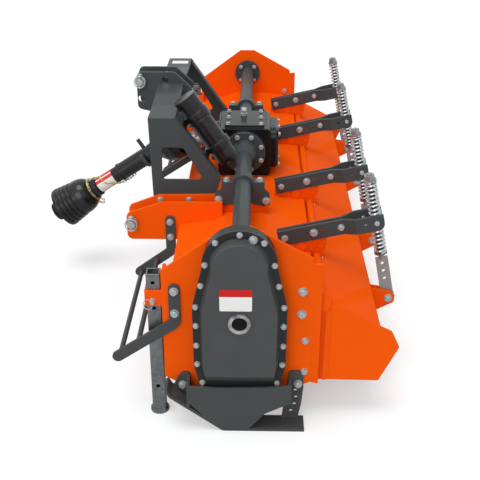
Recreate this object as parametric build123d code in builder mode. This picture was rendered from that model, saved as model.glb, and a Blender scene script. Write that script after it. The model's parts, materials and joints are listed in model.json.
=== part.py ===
"""Rotavator: a rotary tiller carried on a tractor's three-point hitch.

Frame: +X forward, towards the tractor; +Y to the drive side; +Z up; the ground is z = 0.
Side outlines give (forward of the rotor, above the ground), in millimetres.
"""
from build123d import *
import os
from math import cos, hypot, radians, sin

os.makedirs("parts", exist_ok=True)

# ---- driving dimensions ----------------------------------------------------------------
WIDTH = 2000                    # over the outer faces of the side plates
ROTOR_X = -134                  # rotor and cross shaft, from the middle of the machine's length
PLATE = 10                      # side plates and hitch plates
SHEET = 5                       # hood and tailgate
STRAP = 8                       # bars, straps and small brackets
RUNNING = 0.1                   # radial clearance of a running fit
SLIDING = 0.5                   # clearance of a sliding fit, each side

SHAFT_Z = 547                   # cross shaft
ROTOR_Z = 220                   # rotor
ROTOR_R = 200                   # swing radius of the tines

# hood and tailgate: middle lines of the folded sheets
HOOD_LINE = ((214.5, 300), (214.5, 411), (97, 427), (62, 444.5), (-62, 444.5), (-218, 427), (-221, 398),
             (-250, 396))
HINGE = (-240, 418)             # tailgate hinge
HINGE_ROD_R = 7
HINGE_ROLL_R = 12
GATE_FOLD = (-414, 324)
GATE_FOOT = (-420, 135)
BEND_R = 12

# tailgate arms and spring rods
ARM_YS = (-700, -282, 282, 700)
ARM_FRONT = (-120, 476)
TRUNNION = (-420, 544)
ROD_EYE = (-478, 266)
ARM_DEEP = 51
LUG_THICK = 12
FORK_HALF = 32                  # middle of each bar from the rod, at the fork
JOURNAL_R = 8
BLOCK_HALF = 14                 # trunnion block, along the rod
ROD_R = 9
SPRING_R = 20.5                 # outside
SPRING_WIRE = 7
SPRING_PITCH = 13
UPPER_COILS = 9
LOWER_COILS = 8
EYE_PIN_R = 8
EYE_DRIFT = 2                   # room for the open end of the linkage
EYE_THICK = 10
EYE_WIDE = 40

# side plates
FRONT_X = 227                   # front face of the side plates' front flanges
REAR_BEND_X = -209
REAR_FLANGE = 28
REAR_FLANGE_TURN = 18
FRONT_FLANGE = 55

# hitch
HEAD_Y = 397                    # outer face of the headstock plates
CLEVIS_GAP = 58
TOP_GAP = 66
LOWER_PIN = (383, 417)
TOP_PIN = (388, 794)
LOWER_PIN_R = 14
TOP_PIN_R = 12.7
PIN_SLACK = 0.3
BRIDGE_Z = 768                  # top face of the headstock's bridge, outside
BRIDGE_RISE = 18
BRIDGE_FOLD_Y = 255

# drive
GEARBOX_HALF_Y = 110
TUBE_FLANGE = 14
TUBE_R = 28.5
TUBE_FLANGE_R = 79
END_FLANGE_R = 61
CASE_DEEP = 43                  # gear case, from the side plate to its cover
COVER_FLANGE = 6
DOME_DEEP = 31
SADDLE_Y = 432
SADDLE_LONG = 40
RISER_HALF = 82                 # riser under each saddle
RISER_TOP = 500
RISER_OUT = 440
JOINT = (285, 547)              # middle of the drive shaft's universal joint
PTO_DOWN = 33.0                 # slope of the parked drive shaft, degrees
BELL_R = 82

# stands, skids and guards
LEG_SIDE = 40
LEG_WALL = 4
LEG_TOP = 494
FOOT_R = 29
SLEEVE_WALL = 5
SLEEVE_Z = (392, 444)
SKID_WIDE = 68
GUARD_RODS = ((358, 231), (302, 275))
GUARD_ROD_R = 8
GUARD_WIDE = 34

HALF = WIDTH / 2
INNER = HALF - PLATE


# ---- shared ways of making -------------------------------------------------------------
def side(y):
    """Plane of a side outline at height y across the machine; its normal points to -Y."""
    return Plane(origin=(ROTOR_X, y, 0), x_dir=(1, 0, 0), z_dir=(0, -1, 0))


def slab(outline, y_low, y_high, corner=0, mode=Mode.ADD):
    """A plate of the given side outline between two planes across the machine."""
    with BuildSketch(side(y_high)) as cut:
        with BuildLine():
            Polyline(*outline, close=True)
        make_face()
        if corner:
            fillet(cut.vertices(), radius=corner)
    extrude(cut.sketch, amount=y_high - y_low, dir=(0, -1, 0), mode=mode)


def strip(line, thick, y_low, y_high, bend=0, mode=Mode.ADD):
    """A sheet or bar folded along a side line, running across the machine."""
    with BuildSketch(side(y_high)) as cut:
        with BuildLine() as fold:
            if bend:
                FilletPolyline(*line, radius=bend)
            else:
                Polyline(*line)
        trace(fold.line, line_width=thick)
    extrude(cut.sketch, amount=y_high - y_low, dir=(0, -1, 0), mode=mode)


def disc(at, radius, y_low, y_high, mode=Mode.ADD):
    """A round piece whose axis runs across the machine."""
    with BuildSketch(side(y_high)) as cut:
        with Locations(at):
            Circle(radius)
    extrude(cut.sketch, amount=y_high - y_low, dir=(0, -1, 0), mode=mode)


def height_on(line, x):
    """Height of a folded line at a side position that it passes once."""
    for (x0, z0), (x1, z1) in zip(line, line[1:]):
        if min(x0, x1) <= x <= max(x0, x1) and x0 != x1:
            return z0 + (z1 - z0) * (x - x0) / (x1 - x0)


def finish(piece, name):
    """Label a piece and write it out."""
    piece.part.label = name
    export_step(piece.part, f"parts/{name}.step")


def both_sides(left, name):
    """Write a left piece and its mirror image."""
    finish(left, f"{name}_left")
    with BuildPart() as right:
        mirror(left.part, about=Plane.XZ)
    finish(right, f"{name}_right")
    return right


# ---- side plates -----------------------------------------------------------------------
PLATE_LINE = ((-33, 656), (35, 656), (FRONT_X, 514), (FRONT_X, 152), (159, 112), (-150, 110),
              (REAR_BEND_X, 134), (REAR_BEND_X, 558))
with BuildPart() as side_plate:
    slab(PLATE_LINE, INNER, HALF)
    # flange turned in along the front edge, and turned a little out along the rear edge
    slab(((FRONT_X - PLATE, 175), (FRONT_X, 175), (FRONT_X, 505), (FRONT_X - PLATE, 505)),
         INNER - FRONT_FLANGE, INNER)
    turn = radians(REAR_FLANGE_TURN)
    with BuildSketch(Plane.XY.offset(136)) as flange:
        with BuildLine():
            Polyline((ROTOR_X + REAR_BEND_X, INNER), (ROTOR_X + REAR_BEND_X, HALF),
                     (ROTOR_X + REAR_BEND_X - REAR_FLANGE * cos(turn), HALF + REAR_FLANGE * sin(turn)),
                     (ROTOR_X + REAR_BEND_X - REAR_FLANGE * cos(turn), INNER + REAR_FLANGE * sin(turn)),
                     close=True)
        make_face()
    extrude(flange.sketch, amount=543 - 136, dir=(0, 0, 1))
both_sides(side_plate, "side_plate")

# ---- hood ------------------------------------------------------------------------------
with BuildPart() as hood_deck:
    strip(HOOD_LINE, SHEET, -INNER, INNER)
finish(hood_deck, "hood_deck")

# ---- lugs that carry the tailgate's arms and hinge rod -----------------------------------
lug_along = (TRUNNION[0] - ARM_FRONT[0], TRUNNION[1] - ARM_FRONT[1])
arm_length = hypot(*lug_along)
arm_dir = (lug_along[0] / arm_length, lug_along[1] / arm_length)


def along_arm(s, up=0):
    """Side position s behind the arms' front bolt end and up square to them."""
    return (ARM_FRONT[0] + arm_dir[0] * s + arm_dir[1] * up, ARM_FRONT[1] + arm_dir[1] * s - arm_dir[0] * up)


LUG_LINE = ((-271, 490), (-270, 460), (-260, 412), (-250, 396), (-222, 396), (-214, 427))
LUG_FRONT = -112
BOSS = (-190, 449)              # painted boss on each face of a lug
BOSS_R = 16
BOSS_HIGH = 5
with BuildPart() as gate_lugs:
    for y in ARM_YS:
        slab((along_arm(0, 20), along_arm(150, 20), *LUG_LINE, (LUG_FRONT, height_on(HOOD_LINE, LUG_FRONT))),
             y - LUG_THICK / 2, y + LUG_THICK / 2)
        disc(BOSS, BOSS_R, y - LUG_THICK / 2 - BOSS_HIGH, y + LUG_THICK / 2 + BOSS_HIGH)
        disc(HINGE, HINGE_ROD_R + RUNNING, y - LUG_THICK, y + LUG_THICK, Mode.SUBTRACT)
    add(hood_deck.part, mode=Mode.SUBTRACT)
finish(gate_lugs, "gate_lugs")

with BuildPart() as gate_hinge_rod:
    disc(HINGE, HINGE_ROD_R, -INNER, INNER)
finish(gate_hinge_rod, "gate_hinge_rod")

# ---- arms: a pair of bars to each lug, spread into a fork behind ---------------------------
arm_plane = Plane(origin=(ROTOR_X + ARM_FRONT[0], 0, ARM_FRONT[1]), x_dir=(arm_dir[0], 0, arm_dir[1]),
                  z_dir=(arm_dir[1], 0, -arm_dir[0]))
BAR_END = 24                    # bar behind the trunnion
SPREAD_FROM = 205               # start and end of the bend into the fork
SPREAD_TO = 244
SPARE_HOLES = (136, 273)        # along each bar
SPARE_R = 5.5
with BuildPart() as gate_arms:
    near = LUG_THICK / 2 + STRAP / 2
    for y in ARM_YS:
        for hand in (-1, 1):
            with BuildSketch(arm_plane) as plan:
                with BuildLine() as run:
                    Polyline(*[(s, -(y + hand * off)) for s, off in (
                        (-4, near), (SPREAD_FROM, near), (SPREAD_TO, FORK_HALF),
                        (arm_length + BAR_END, FORK_HALF))])
                trace(run.line, line_width=STRAP)
            extrude(plan.sketch, amount=ARM_DEEP / 2, both=True)
    tips = gate_arms.edges().filter_by(Axis.Y)
    fillet(tips.group_by(Axis.X)[0], radius=ARM_DEEP / 2 - 2)
    for y in ARM_YS:
        disc(TRUNNION, JOURNAL_R + RUNNING, y - 2 * FORK_HALF, y + 2 * FORK_HALF, Mode.SUBTRACT)
        for s in SPARE_HOLES:
            disc(along_arm(s), SPARE_R, y - 2 * FORK_HALF, y + 2 * FORK_HALF, Mode.SUBTRACT)
finish(gate_arms, "gate_arms")

# ---- trunnions and spring rods -------------------------------------------------------------
rod_along = (TRUNNION[0] - ROD_EYE[0], TRUNNION[1] - ROD_EYE[1])
eye_down = hypot(*rod_along)
rod_dir = (rod_along[0] / eye_down, rod_along[1] / eye_down)


def rod_plane(y, s):
    """Plane square to a spring rod, s up the rod from the trunnion."""
    return Plane(origin=(ROTOR_X + TRUNNION[0] + rod_dir[0] * s, y, TRUNNION[1] + rod_dir[1] * s),
                 x_dir=(0, 1, 0), z_dir=(rod_dir[0], 0, rod_dir[1]))


def turned(y, s_low, s_high, radius, mode=Mode.ADD):
    """A round length of a spring rod."""
    with BuildSketch(rod_plane(y, s_low)) as cut:
        Circle(radius)
    extrude(cut.sketch, amount=s_high - s_low, mode=mode)


fork_gap = FORK_HALF - STRAP / 2
with BuildPart() as trunnion_blocks:
    for y in ARM_YS:
        with BuildSketch(rod_plane(y, -BLOCK_HALF)) as block:
            Rectangle(2 * (fork_gap - 1), 34)
        extrude(block.sketch, amount=2 * BLOCK_HALF)
        disc(TRUNNION, JOURNAL_R, y - FORK_HALF - STRAP / 2, y + FORK_HALF + STRAP / 2)
        turned(y, -3 * BLOCK_HALF, 3 * BLOCK_HALF, ROD_R + RUNNING, Mode.SUBTRACT)
finish(trunnion_blocks, "trunnion_blocks")

upper_long = UPPER_COILS * SPRING_PITCH
lower_long = LOWER_COILS * SPRING_PITCH
SEAT = 5                        # washers on the rods
NUT_HIGH = 16
LUG_TOP = 138                   # top of the flat lug, below the trunnion


def spring(y, s_low, coils):
    """A coil spring as a ribbed sleeve round its rod."""
    half = SPRING_WIRE / 2
    with BuildSketch(Plane(origin=rod_plane(y, s_low).origin, x_dir=(0, 1, 0),
                           z_dir=(rod_dir[1], 0, -rod_dir[0]))) as cut:
        with BuildLine():
            crests = []
            for n in range(coils):
                crests += [(SPRING_R - half, n * SPRING_PITCH), (SPRING_R, (n + 0.5) * SPRING_PITCH)]
            Polyline((SPRING_R - SPRING_WIRE, 0), *crests, (SPRING_R - half, coils * SPRING_PITCH),
                     (SPRING_R - SPRING_WIRE, coils * SPRING_PITCH), close=True)
        make_face()
    revolve(cut.sketch, axis=Axis(rod_plane(y, s_low).origin, (rod_dir[0], 0, rod_dir[1])))


with BuildPart() as upper_springs:
    for y in ARM_YS:
        spring(y, BLOCK_HALF, UPPER_COILS)
finish(upper_springs, "upper_springs")

with BuildPart() as lower_springs:
    for y in ARM_YS:
        spring(y, -BLOCK_HALF - lower_long, LOWER_COILS)
finish(lower_springs, "lower_springs")

top_seat = BLOCK_HALF + upper_long
low_seat = BLOCK_HALF + lower_long
with BuildPart() as spring_rods:
    for y in ARM_YS:
        turned(y, -LUG_TOP - 6, top_seat + SEAT + NUT_HIGH + 4, ROD_R)
        turned(y, top_seat, top_seat + SEAT, SPRING_R)
        turned(y, -low_seat - SEAT, -low_seat, SPRING_R)
        with BuildSketch(rod_plane(y, top_seat + SEAT)) as nut:
            RegularPolygon(SPRING_R - 3, 6)
        extrude(nut.sketch, amount=NUT_HIGH)
        with BuildSketch(Plane(origin=rod_plane(y - EYE_THICK / 2, 0).origin, x_dir=(rod_dir[1], 0, -rod_dir[0]),
                               z_dir=(0, 1, 0))) as lug:
            with Locations((0, (LUG_TOP + eye_down) / 2)):
                Rectangle(EYE_WIDE, eye_down - LUG_TOP)
            with Locations((0, eye_down)):
                Circle(EYE_WIDE / 2)
                Circle(EYE_PIN_R + EYE_DRIFT, mode=Mode.SUBTRACT)
            with Locations(*[(0, LUG_TOP + 22 + n * 28) for n in range(3)]):
                Circle(6.5, mode=Mode.SUBTRACT)
        extrude(lug.sketch, amount=EYE_THICK, dir=(0, 1, 0))
finish(spring_rods, "spring_rods")


# ---- tailgate --------------------------------------------------------------------------
GATE_GAP = 5                    # tailgate ends, inside the side plates
ROLL_GAP = 6                    # rolled hinge, each side of a lug
SLOT_LINE = ((-278, 380), (-278, 440), (-205, 440), (-205, 380))
gate_half = INNER - GATE_GAP
with BuildPart() as tailgate_panel:
    strip((HINGE, GATE_FOLD, GATE_FOOT), SHEET, -gate_half + SHEET, gate_half - SHEET, BEND_R)
    disc(HINGE, HINGE_ROLL_R, -gate_half + SHEET, gate_half - SHEET)
    disc(HINGE, HINGE_ROD_R + RUNNING, -gate_half, gate_half, Mode.SUBTRACT)
    for y in ARM_YS:
        slab(SLOT_LINE, y - LUG_THICK / 2 - ROLL_GAP, y + LUG_THICK / 2 + ROLL_GAP, mode=Mode.SUBTRACT)
finish(tailgate_panel, "tailgate_panel")

WING_LINE = ((-222, 384), (-253, 384), (-262, 406), (-416, 326), (-450, 309), (-476, 254), (-421, 133),
             (-222, 136))
with BuildPart() as tailgate_wings:
    for y in (gate_half - SHEET, -gate_half):
        slab(WING_LINE, y, y + SHEET)
finish(tailgate_wings, "tailgate_wings")

EAR_SLACK = 1
EYE_PIN_LONG = 40
ear_low = EYE_THICK / 2 + EAR_SLACK


def gate_x(z):
    """Side position of the tailgate's lower sheet at height z."""
    return GATE_FOLD[0] + (GATE_FOOT[0] - GATE_FOLD[0]) * (z - GATE_FOLD[1]) / (GATE_FOOT[1] - GATE_FOLD[1])


with BuildPart() as tailgate_brackets:
    for y in ARM_YS:
        for y_low in (y + ear_low, y - ear_low - STRAP):
            slab(((gate_x(302), 302), (ROD_EYE[0] - 4, ROD_EYE[1] + 24), (ROD_EYE[0] - 22, ROD_EYE[1] + 8),
                  (ROD_EYE[0] - 20, ROD_EYE[1] - 16), (gate_x(205), 205)), y_low, y_low + STRAP)
        disc(ROD_EYE, EYE_PIN_R, y - EYE_PIN_LONG / 2, y + EYE_PIN_LONG / 2)
    add(tailgate_panel.part, mode=Mode.SUBTRACT)
finish(tailgate_brackets, "tailgate_brackets")

# ---- lower hitch -----------------------------------------------------------------------
clevis_in = HEAD_Y + PLATE
clevis_out = clevis_in + CLEVIS_GAP
with BuildPart() as hitch_plates:
    slab(((402, 353), (402, 450), (296, 491), (98, 494), (98, height_on(HOOD_LINE, 98)), HOOD_LINE[1],
          (HOOD_LINE[0][0], 353)), HEAD_Y, clevis_in)
    slab(((402, 353), (402, 450), (277, 494), (70, 494), (70, height_on(HOOD_LINE, 70)), HOOD_LINE[2],
          HOOD_LINE[1], (HOOD_LINE[0][0], 353)), clevis_out, clevis_out + PLATE)
    fillet(hitch_plates.edges().filter_by(Axis.Y).group_by(Axis.X)[-1], radius=20)
    # riser that carries the cross shaft's saddle
    slab(((-RISER_HALF, height_on(HOOD_LINE, -RISER_HALF)), (-RISER_HALF, RISER_TOP), (RISER_HALF, RISER_TOP),
          (RISER_HALF, height_on(HOOD_LINE, RISER_HALF)), HOOD_LINE[3], HOOD_LINE[4]),
         RISER_OUT - PLATE, RISER_OUT)
    disc(LOWER_PIN, LOWER_PIN_R + PIN_SLACK, HEAD_Y, clevis_out + PLATE, Mode.SUBTRACT)
    add(hood_deck.part, mode=Mode.SUBTRACT)
both_sides(hitch_plates, "hitch_plates")

PIN_HEAD_R = 20
PIN_HEAD = 12
with BuildPart() as lower_hitch_pins:
    for hand in (1, -1):
        ends = sorted((hand * (HEAD_Y - PIN_HEAD), hand * (clevis_out + PLATE + PIN_HEAD)))
        disc(LOWER_PIN, LOWER_PIN_R, *ends)
        head = sorted((hand * (clevis_out + PLATE), hand * (clevis_out + PLATE + PIN_HEAD)))
        disc(LOWER_PIN, PIN_HEAD_R, *head)
finish(lower_hitch_pins, "lower_hitch_pins")

# ---- headstock -------------------------------------------------------------------------
HEAD_LINE = ((315, 484), (322, BRIDGE_Z), (229, BRIDGE_Z), (78, 548), (98, 484))
HEAD_EDGE = 30                  # flange turned in along the rear slope
HEAD_SHEET = 10
WINDOW = ((281, 545), (279, 664), (206, 664), (137, 545))
EAR_THICK = 10
EAR_TIES = (((240, 700), (300, 712)), ((236, 776), (256, 788)))     # corners of the bars between the ears
LOWER_HOLE = (388, 726)
REAR_HOLE = (297, 799)
ear_out = TOP_GAP / 2 + EAR_THICK
with BuildPart() as headstock:
    slab(HEAD_LINE, HEAD_Y - HEAD_SHEET, HEAD_Y)
    slab(WINDOW, HEAD_Y - HEAD_SHEET, HEAD_Y, 12, Mode.SUBTRACT)
    # flange turned in along the rear slope
    strip(((226.5, BRIDGE_Z - 9), (84, 551)), 8, HEAD_Y - HEAD_SHEET - HEAD_EDGE, HEAD_Y - HEAD_SHEET)
    # bridge: level from the plate, then rising to the ears
    bridge_front = Plane(origin=(ROTOR_X + 322, 0, 0), x_dir=(0, 1, 0), z_dir=(1, 0, 0))
    with BuildSketch(bridge_front) as deck:
        with BuildLine():
            Polyline((HEAD_Y, BRIDGE_Z), (BRIDGE_FOLD_Y, BRIDGE_Z), (ear_out, BRIDGE_Z + BRIDGE_RISE),
                     (ear_out, BRIDGE_Z + BRIDGE_RISE - HEAD_SHEET),
                     (BRIDGE_FOLD_Y, BRIDGE_Z - HEAD_SHEET), (HEAD_Y, BRIDGE_Z - HEAD_SHEET), close=True)
        make_face()
    extrude(deck.sketch, amount=322 - 229, dir=(-1, 0, 0))
both_sides(headstock, "headstock_plate")

EAR_LINE = ((403, 689), (403, 828), (261, 828), (191, 762), (240, 690), (351, 677))
with BuildPart() as headstock_ears:
    for y_low in (TOP_GAP / 2, -ear_out):
        slab(EAR_LINE, y_low, y_low + EAR_THICK, 20)
    for (x0, z0), (x1, z1) in EAR_TIES:
        slab(((x0, z0), (x1, z0), (x1, z1), (x0, z1)), -TOP_GAP / 2, TOP_GAP / 2)
    for at in (TOP_PIN, LOWER_HOLE, REAR_HOLE):
        disc(at, TOP_PIN_R + PIN_SLACK, -ear_out, ear_out, Mode.SUBTRACT)
finish(headstock_ears, "headstock_ears")

with BuildPart() as top_hitch_pin:
    disc(TOP_PIN, TOP_PIN_R, -ear_out - PIN_HEAD, ear_out + PIN_HEAD)
    disc(TOP_PIN, PIN_HEAD_R, ear_out, ear_out + PIN_HEAD)
finish(top_hitch_pin, "top_hitch_pin")

# ---- gearbox, cross shaft tubes and their saddles ----------------------------------------
DECK_TOP = 444.5 + SHEET / 2
BOX_BACK = -98
BOX_FRONT = 100
BOX_TOP = 632
with BuildPart() as gearbox:
    slab(((BOX_BACK, DECK_TOP), (BOX_BACK, BOX_TOP), (BOX_FRONT, BOX_TOP), (BOX_FRONT, DECK_TOP)),
         -GEARBOX_HALF_Y, GEARBOX_HALF_Y, 14)
    for hand in (1, -1):
        disc((0, SHAFT_Z), TUBE_FLANGE_R, *sorted((hand * GEARBOX_HALF_Y, hand * (GEARBOX_HALF_Y + TUBE_FLANGE))))
    with BuildSketch(Plane(origin=(ROTOR_X + BOX_BACK, 0, SHAFT_Z - 4), x_dir=(0, 1, 0), z_dir=(-1, 0, 0))) as back:
        RectangleRounded(196, 160, 40)
    extrude(back.sketch, amount=30)
    chamfer(gearbox.faces().sort_by(Axis.X)[0].edges(), length=9)
    with BuildSketch(Plane(origin=(ROTOR_X + BOX_FRONT, 0, SHAFT_Z), x_dir=(0, 1, 0), z_dir=(1, 0, 0))) as nose:
        Circle(76)
    extrude(nose.sketch, amount=26)
    with BuildSketch(Plane(origin=(ROTOR_X, 0, BOX_TOP))) as lid:
        RectangleRounded(150, 180, 10)
    extrude(lid.sketch, amount=8)
finish(gearbox, "gearbox")

with BuildPart() as input_shaft:
    front = Plane(origin=(ROTOR_X + BOX_FRONT + 26, 0, SHAFT_Z), x_dir=(0, 1, 0), z_dir=(1, 0, 0))
    reach = JOINT[0] - BOX_FRONT - 26
    with BuildSketch(front):
        Circle(20)
    extrude(amount=reach - 62)
    with BuildSketch(front.offset(reach - 92)):
        Circle(34)
    extrude(amount=46)
    for hand in (1, -1):
        slab(((JOINT[0] - 50, SHAFT_Z - 20), (JOINT[0] + 16, SHAFT_Z - 20), (JOINT[0] + 16, SHAFT_Z + 20),
              (JOINT[0] - 50, SHAFT_Z + 20)), *sorted((hand * 30, hand * 40)), 6)
    slab(((JOINT[0] - 58, SHAFT_Z - 20), (JOINT[0] - 44, SHAFT_Z - 20), (JOINT[0] - 44, SHAFT_Z + 20),
          (JOINT[0] - 58, SHAFT_Z + 20)), -40, 40)
    disc(JOINT, 9 + RUNNING, -40, 40, Mode.SUBTRACT)
finish(input_shaft, "input_shaft")

with BuildPart() as axle_tube:
    from_box = GEARBOX_HALF_Y + TUBE_FLANGE
    disc((0, SHAFT_Z), TUBE_FLANGE_R, from_box, from_box + TUBE_FLANGE)
    disc((0, SHAFT_Z), TUBE_R, from_box + TUBE_FLANGE, INNER - TUBE_FLANGE)
    disc((0, SHAFT_Z), END_FLANGE_R, INNER - TUBE_FLANGE, INNER)
    for s in range(8):
        turn = radians(22.5 + 45 * s)
        disc((68 * cos(turn), SHAFT_Z + 68 * sin(turn)), 6, from_box + TUBE_FLANGE, from_box + TUBE_FLANGE + 6)
    for s in range(4):
        turn = radians(45 + 90 * s)
        disc((46 * cos(turn), SHAFT_Z + 46 * sin(turn)), 6, INNER - TUBE_FLANGE - 6, INNER - TUBE_FLANGE)
both_sides(axle_tube, "axle_tube")

CAP_R = TUBE_R + 11
EAR_HALF = 74                   # bolted ears of the cap
EAR_TOP = SHAFT_Z + 12
SADDLE_WING = ((-93, 477), (-91, 518), (-72, 537), (-66, EAR_TOP), (66, EAR_TOP), (76, 533), (96, 516),
               (96, 480), (62, 472), (0, 488), (-68, 472))
with BuildPart() as saddle:
    saddle_low = SADDLE_Y - SADDLE_LONG / 2
    saddle_high = saddle_low + SADDLE_LONG
    slab(((-EAR_HALF, RISER_TOP), (-EAR_HALF, EAR_TOP), (EAR_HALF, EAR_TOP), (EAR_HALF, RISER_TOP)),
         saddle_low, saddle_high)
    disc((0, SHAFT_Z), CAP_R, saddle_low, saddle_high)
    slab(SADDLE_WING, RISER_OUT, saddle_high)
    disc((0, SHAFT_Z), TUBE_R, saddle_low, saddle_high, Mode.SUBTRACT)
with BuildPart() as tube_saddles:
    add(saddle.part)
    mirror(saddle.part, about=Plane.XZ)
finish(tube_saddles, "tube_saddles")

# ---- gear case on the drive side ---------------------------------------------------------
CASE_ARC_Z = 561
CASE_ARC_R = 106
SIDE_BEND = 120                 # slight bends in the sides
DOME_IN = 23                    # dome, inside the edge of the cover
DOME_TAPER = 12
DOME_LOW = (208, 172)           # top and foot of the sloped lower end
CASE_SIDE = ((136, 425), (135, 226), (116, 147))


def case_outline(inset):
    """Outline of the gear case: a round top over flared sides, drawn in by inset."""
    with BuildLine() as line:
        flank = Polyline((CASE_ARC_R, CASE_ARC_Z - 8), *CASE_SIDE, (0, 147))
        mirror(flank, about=Plane.YZ)
        ThreePointArc(flank @ 0, (0, CASE_ARC_Z + CASE_ARC_R), (-CASE_ARC_R, CASE_ARC_Z - 8))
        if inset:
            offset(amount=-inset)
    return line.line


def soften(sketch, inset):
    """Round the slight corners in the sides of a gear case outline."""
    fillet([corner for corner in sketch.vertices() if abs(corner.X) > CASE_SIDE[1][0] - inset - 4],
           radius=SIDE_BEND)


with BuildPart() as gear_case:
    with BuildSketch(side(HALF + CASE_DEEP)) as wall:
        make_face(case_outline(4))
        soften(wall, 4)
    extrude(wall.sketch, amount=CASE_DEEP, dir=(0, -1, 0))
finish(gear_case, "gear_case")

dome_foot = HALF + CASE_DEEP + COVER_FLANGE
with BuildPart() as gear_case_cover:
    with BuildSketch(side(dome_foot)) as rim:
        make_face(case_outline(0))
        fillet(rim.vertices().group_by(Axis.Y)[0], radius=30)
        soften(rim, 0)
    extrude(rim.sketch, amount=COVER_FLANGE, dir=(0, -1, 0))
    with BuildSketch(side(dome_foot)) as dome:
        make_face(case_outline(DOME_IN))
        soften(dome, DOME_IN)
    extrude(dome.sketch, amount=DOME_DEEP, dir=(0, 1, 0), taper=DOME_TAPER)
    with BuildSketch(Plane.YZ.offset(ROTOR_X - 200)) as slope:
        with BuildLine():
            Polyline((dome_foot, DOME_LOW[1]), (dome_foot + DOME_DEEP, DOME_LOW[0]),
                     (dome_foot + DOME_DEEP, 100), (dome_foot, 100), close=True)
        make_face()
    extrude(slope.sketch, amount=400, mode=Mode.SUBTRACT)
finish(gear_case_cover, "gear_case_cover")

GLASS_AT = (0, 393)
with BuildPart() as sight_glass:
    glass_foot = dome_foot + DOME_DEEP
    disc(GLASS_AT, 32, glass_foot, glass_foot + 7)
    disc(GLASS_AT, 22, glass_foot + 3, glass_foot + 7, Mode.SUBTRACT)
finish(sight_glass, "sight_glass")

# ---- rotor -----------------------------------------------------------------------------
ROTOR_TUBE_R = 44.5
STUB_R = 25
HUB_DEEP = 12
HUB_GAP = 23                    # rotor tube, clear of each bearing
ROTOR_HALF = INNER - HUB_DEEP - HUB_GAP
AXIS = (0, ROTOR_Z)
with BuildPart() as rotor_bearings:
    for hand in (1, -1):
        disc(AXIS, 55, *sorted((hand * (INNER - HUB_DEEP), hand * INNER)))
    disc(AXIS, STUB_R + RUNNING, -INNER, INNER, Mode.SUBTRACT)
finish(rotor_bearings, "rotor_bearings")

with BuildPart() as bearing_cap_right:
    disc(AXIS, 75, -HALF - 12, -HALF)
    disc(AXIS, 48, -HALF - 38, -HALF - 12)
finish(bearing_cap_right, "bearing_cap_right")

with BuildPart() as rotor_tube:
    disc(AXIS, ROTOR_TUBE_R, -ROTOR_HALF, ROTOR_HALF)
    disc(AXIS, STUB_R, -INNER + 2, INNER - 2)
finish(rotor_tube, "rotor_tube")

FLANGES = 8
FLANGE_R = 100
TINE_THICK = 9
TINE_REACH = 62                 # turned-over blade, across the machine
with BuildPart() as rotor_tines:
    pitch = 2 * (ROTOR_HALF - 78) / (FLANGES - 1)
    for n in range(FLANGES):
        middle = -ROTOR_HALF + 78 + n * pitch
        disc(AXIS, FLANGE_R, middle - 4, middle + 4)
        for k in range(6):
            hand = 1 if k % 2 else -1
            lead = 60 * k + 22 * n
            root = Plane(origin=(ROTOR_X, middle + hand * 4, ROTOR_Z), x_dir=(cos(radians(lead)), 0, sin(radians(lead))),
                         z_dir=(0, hand, 0))
            with BuildSketch(root) as shank:
                with BuildLine():
                    Polyline((62, -20), (120, -24), (ROTOR_R - 26, -40), (ROTOR_R - 8, -42),
                             (ROTOR_R - 3, -12), (ROTOR_R - 30, 6), (120, 22), (62, 20), close=True)
                make_face()
            extrude(shank.sketch, amount=TINE_THICK)
            with BuildSketch(root.offset(TINE_THICK)) as blade:
                with BuildLine():
                    Polyline((ROTOR_R - 16, -42), (ROTOR_R - 8, -42), (ROTOR_R - 3, -12), (ROTOR_R - 13, -4),
                             close=True)
                make_face()
            extrude(blade.sketch, amount=TINE_REACH - TINE_THICK)
    disc(AXIS, ROTOR_TUBE_R, -ROTOR_HALF, ROTOR_HALF, Mode.SUBTRACT)
finish(rotor_tines, "rotor_tines")

# ---- skids -----------------------------------------------------------------------------
SKID_LINE = ((-196, STRAP / 2), (50, STRAP / 2), (208, 124), (220, 146))


def on_skid(x):
    """Point of the runner's middle line at side position x."""
    return (x, height_on(SKID_LINE, x))


COVER_LINE = ((-154, 168), (-60, 161), (60, 158), (158, 162), (158, 110), on_skid(92), on_skid(50),
              on_skid(-24), (-76, 66), (-138, 98), (-154, 106))
FRONT_UPRIGHT = (on_skid(150), on_skid(203), (184, 160), (174, 171), (158, 172), (150, 164))
REAR_UPRIGHT = (on_skid(-129), on_skid(-178), (-188, 60), (-193, 120), (-192, 164), (-180, 179),
                (-156, 179), (-147, 170), (-139, 104))
with BuildPart() as skid:
    strip(SKID_LINE, STRAP, HALF, HALF + SKID_WIDE, 14)
    slab(COVER_LINE, HALF + SKID_WIDE - STRAP, HALF + SKID_WIDE)
    # uprights lie on the side plate, each with a leg turned out to the cover
    slab(FRONT_UPRIGHT, HALF, HALF + STRAP)
    slab(REAR_UPRIGHT, HALF, HALF + STRAP)
    slab((on_skid(150), on_skid(158), (158, 162), (150, 162)), HALF, HALF + SKID_WIDE)
    slab(((-154, 104), (-146, 104), (-146, 167), (-154, 167)), HALF, HALF + SKID_WIDE)
    # height holes of the rear upright
    for along, up in ((-169, 109), (-171, 83), (-167, 57), (-157, 31)):
        disc((along, up), 6, HALF, HALF + STRAP, Mode.SUBTRACT)
both_sides(skid, "skid")

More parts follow.
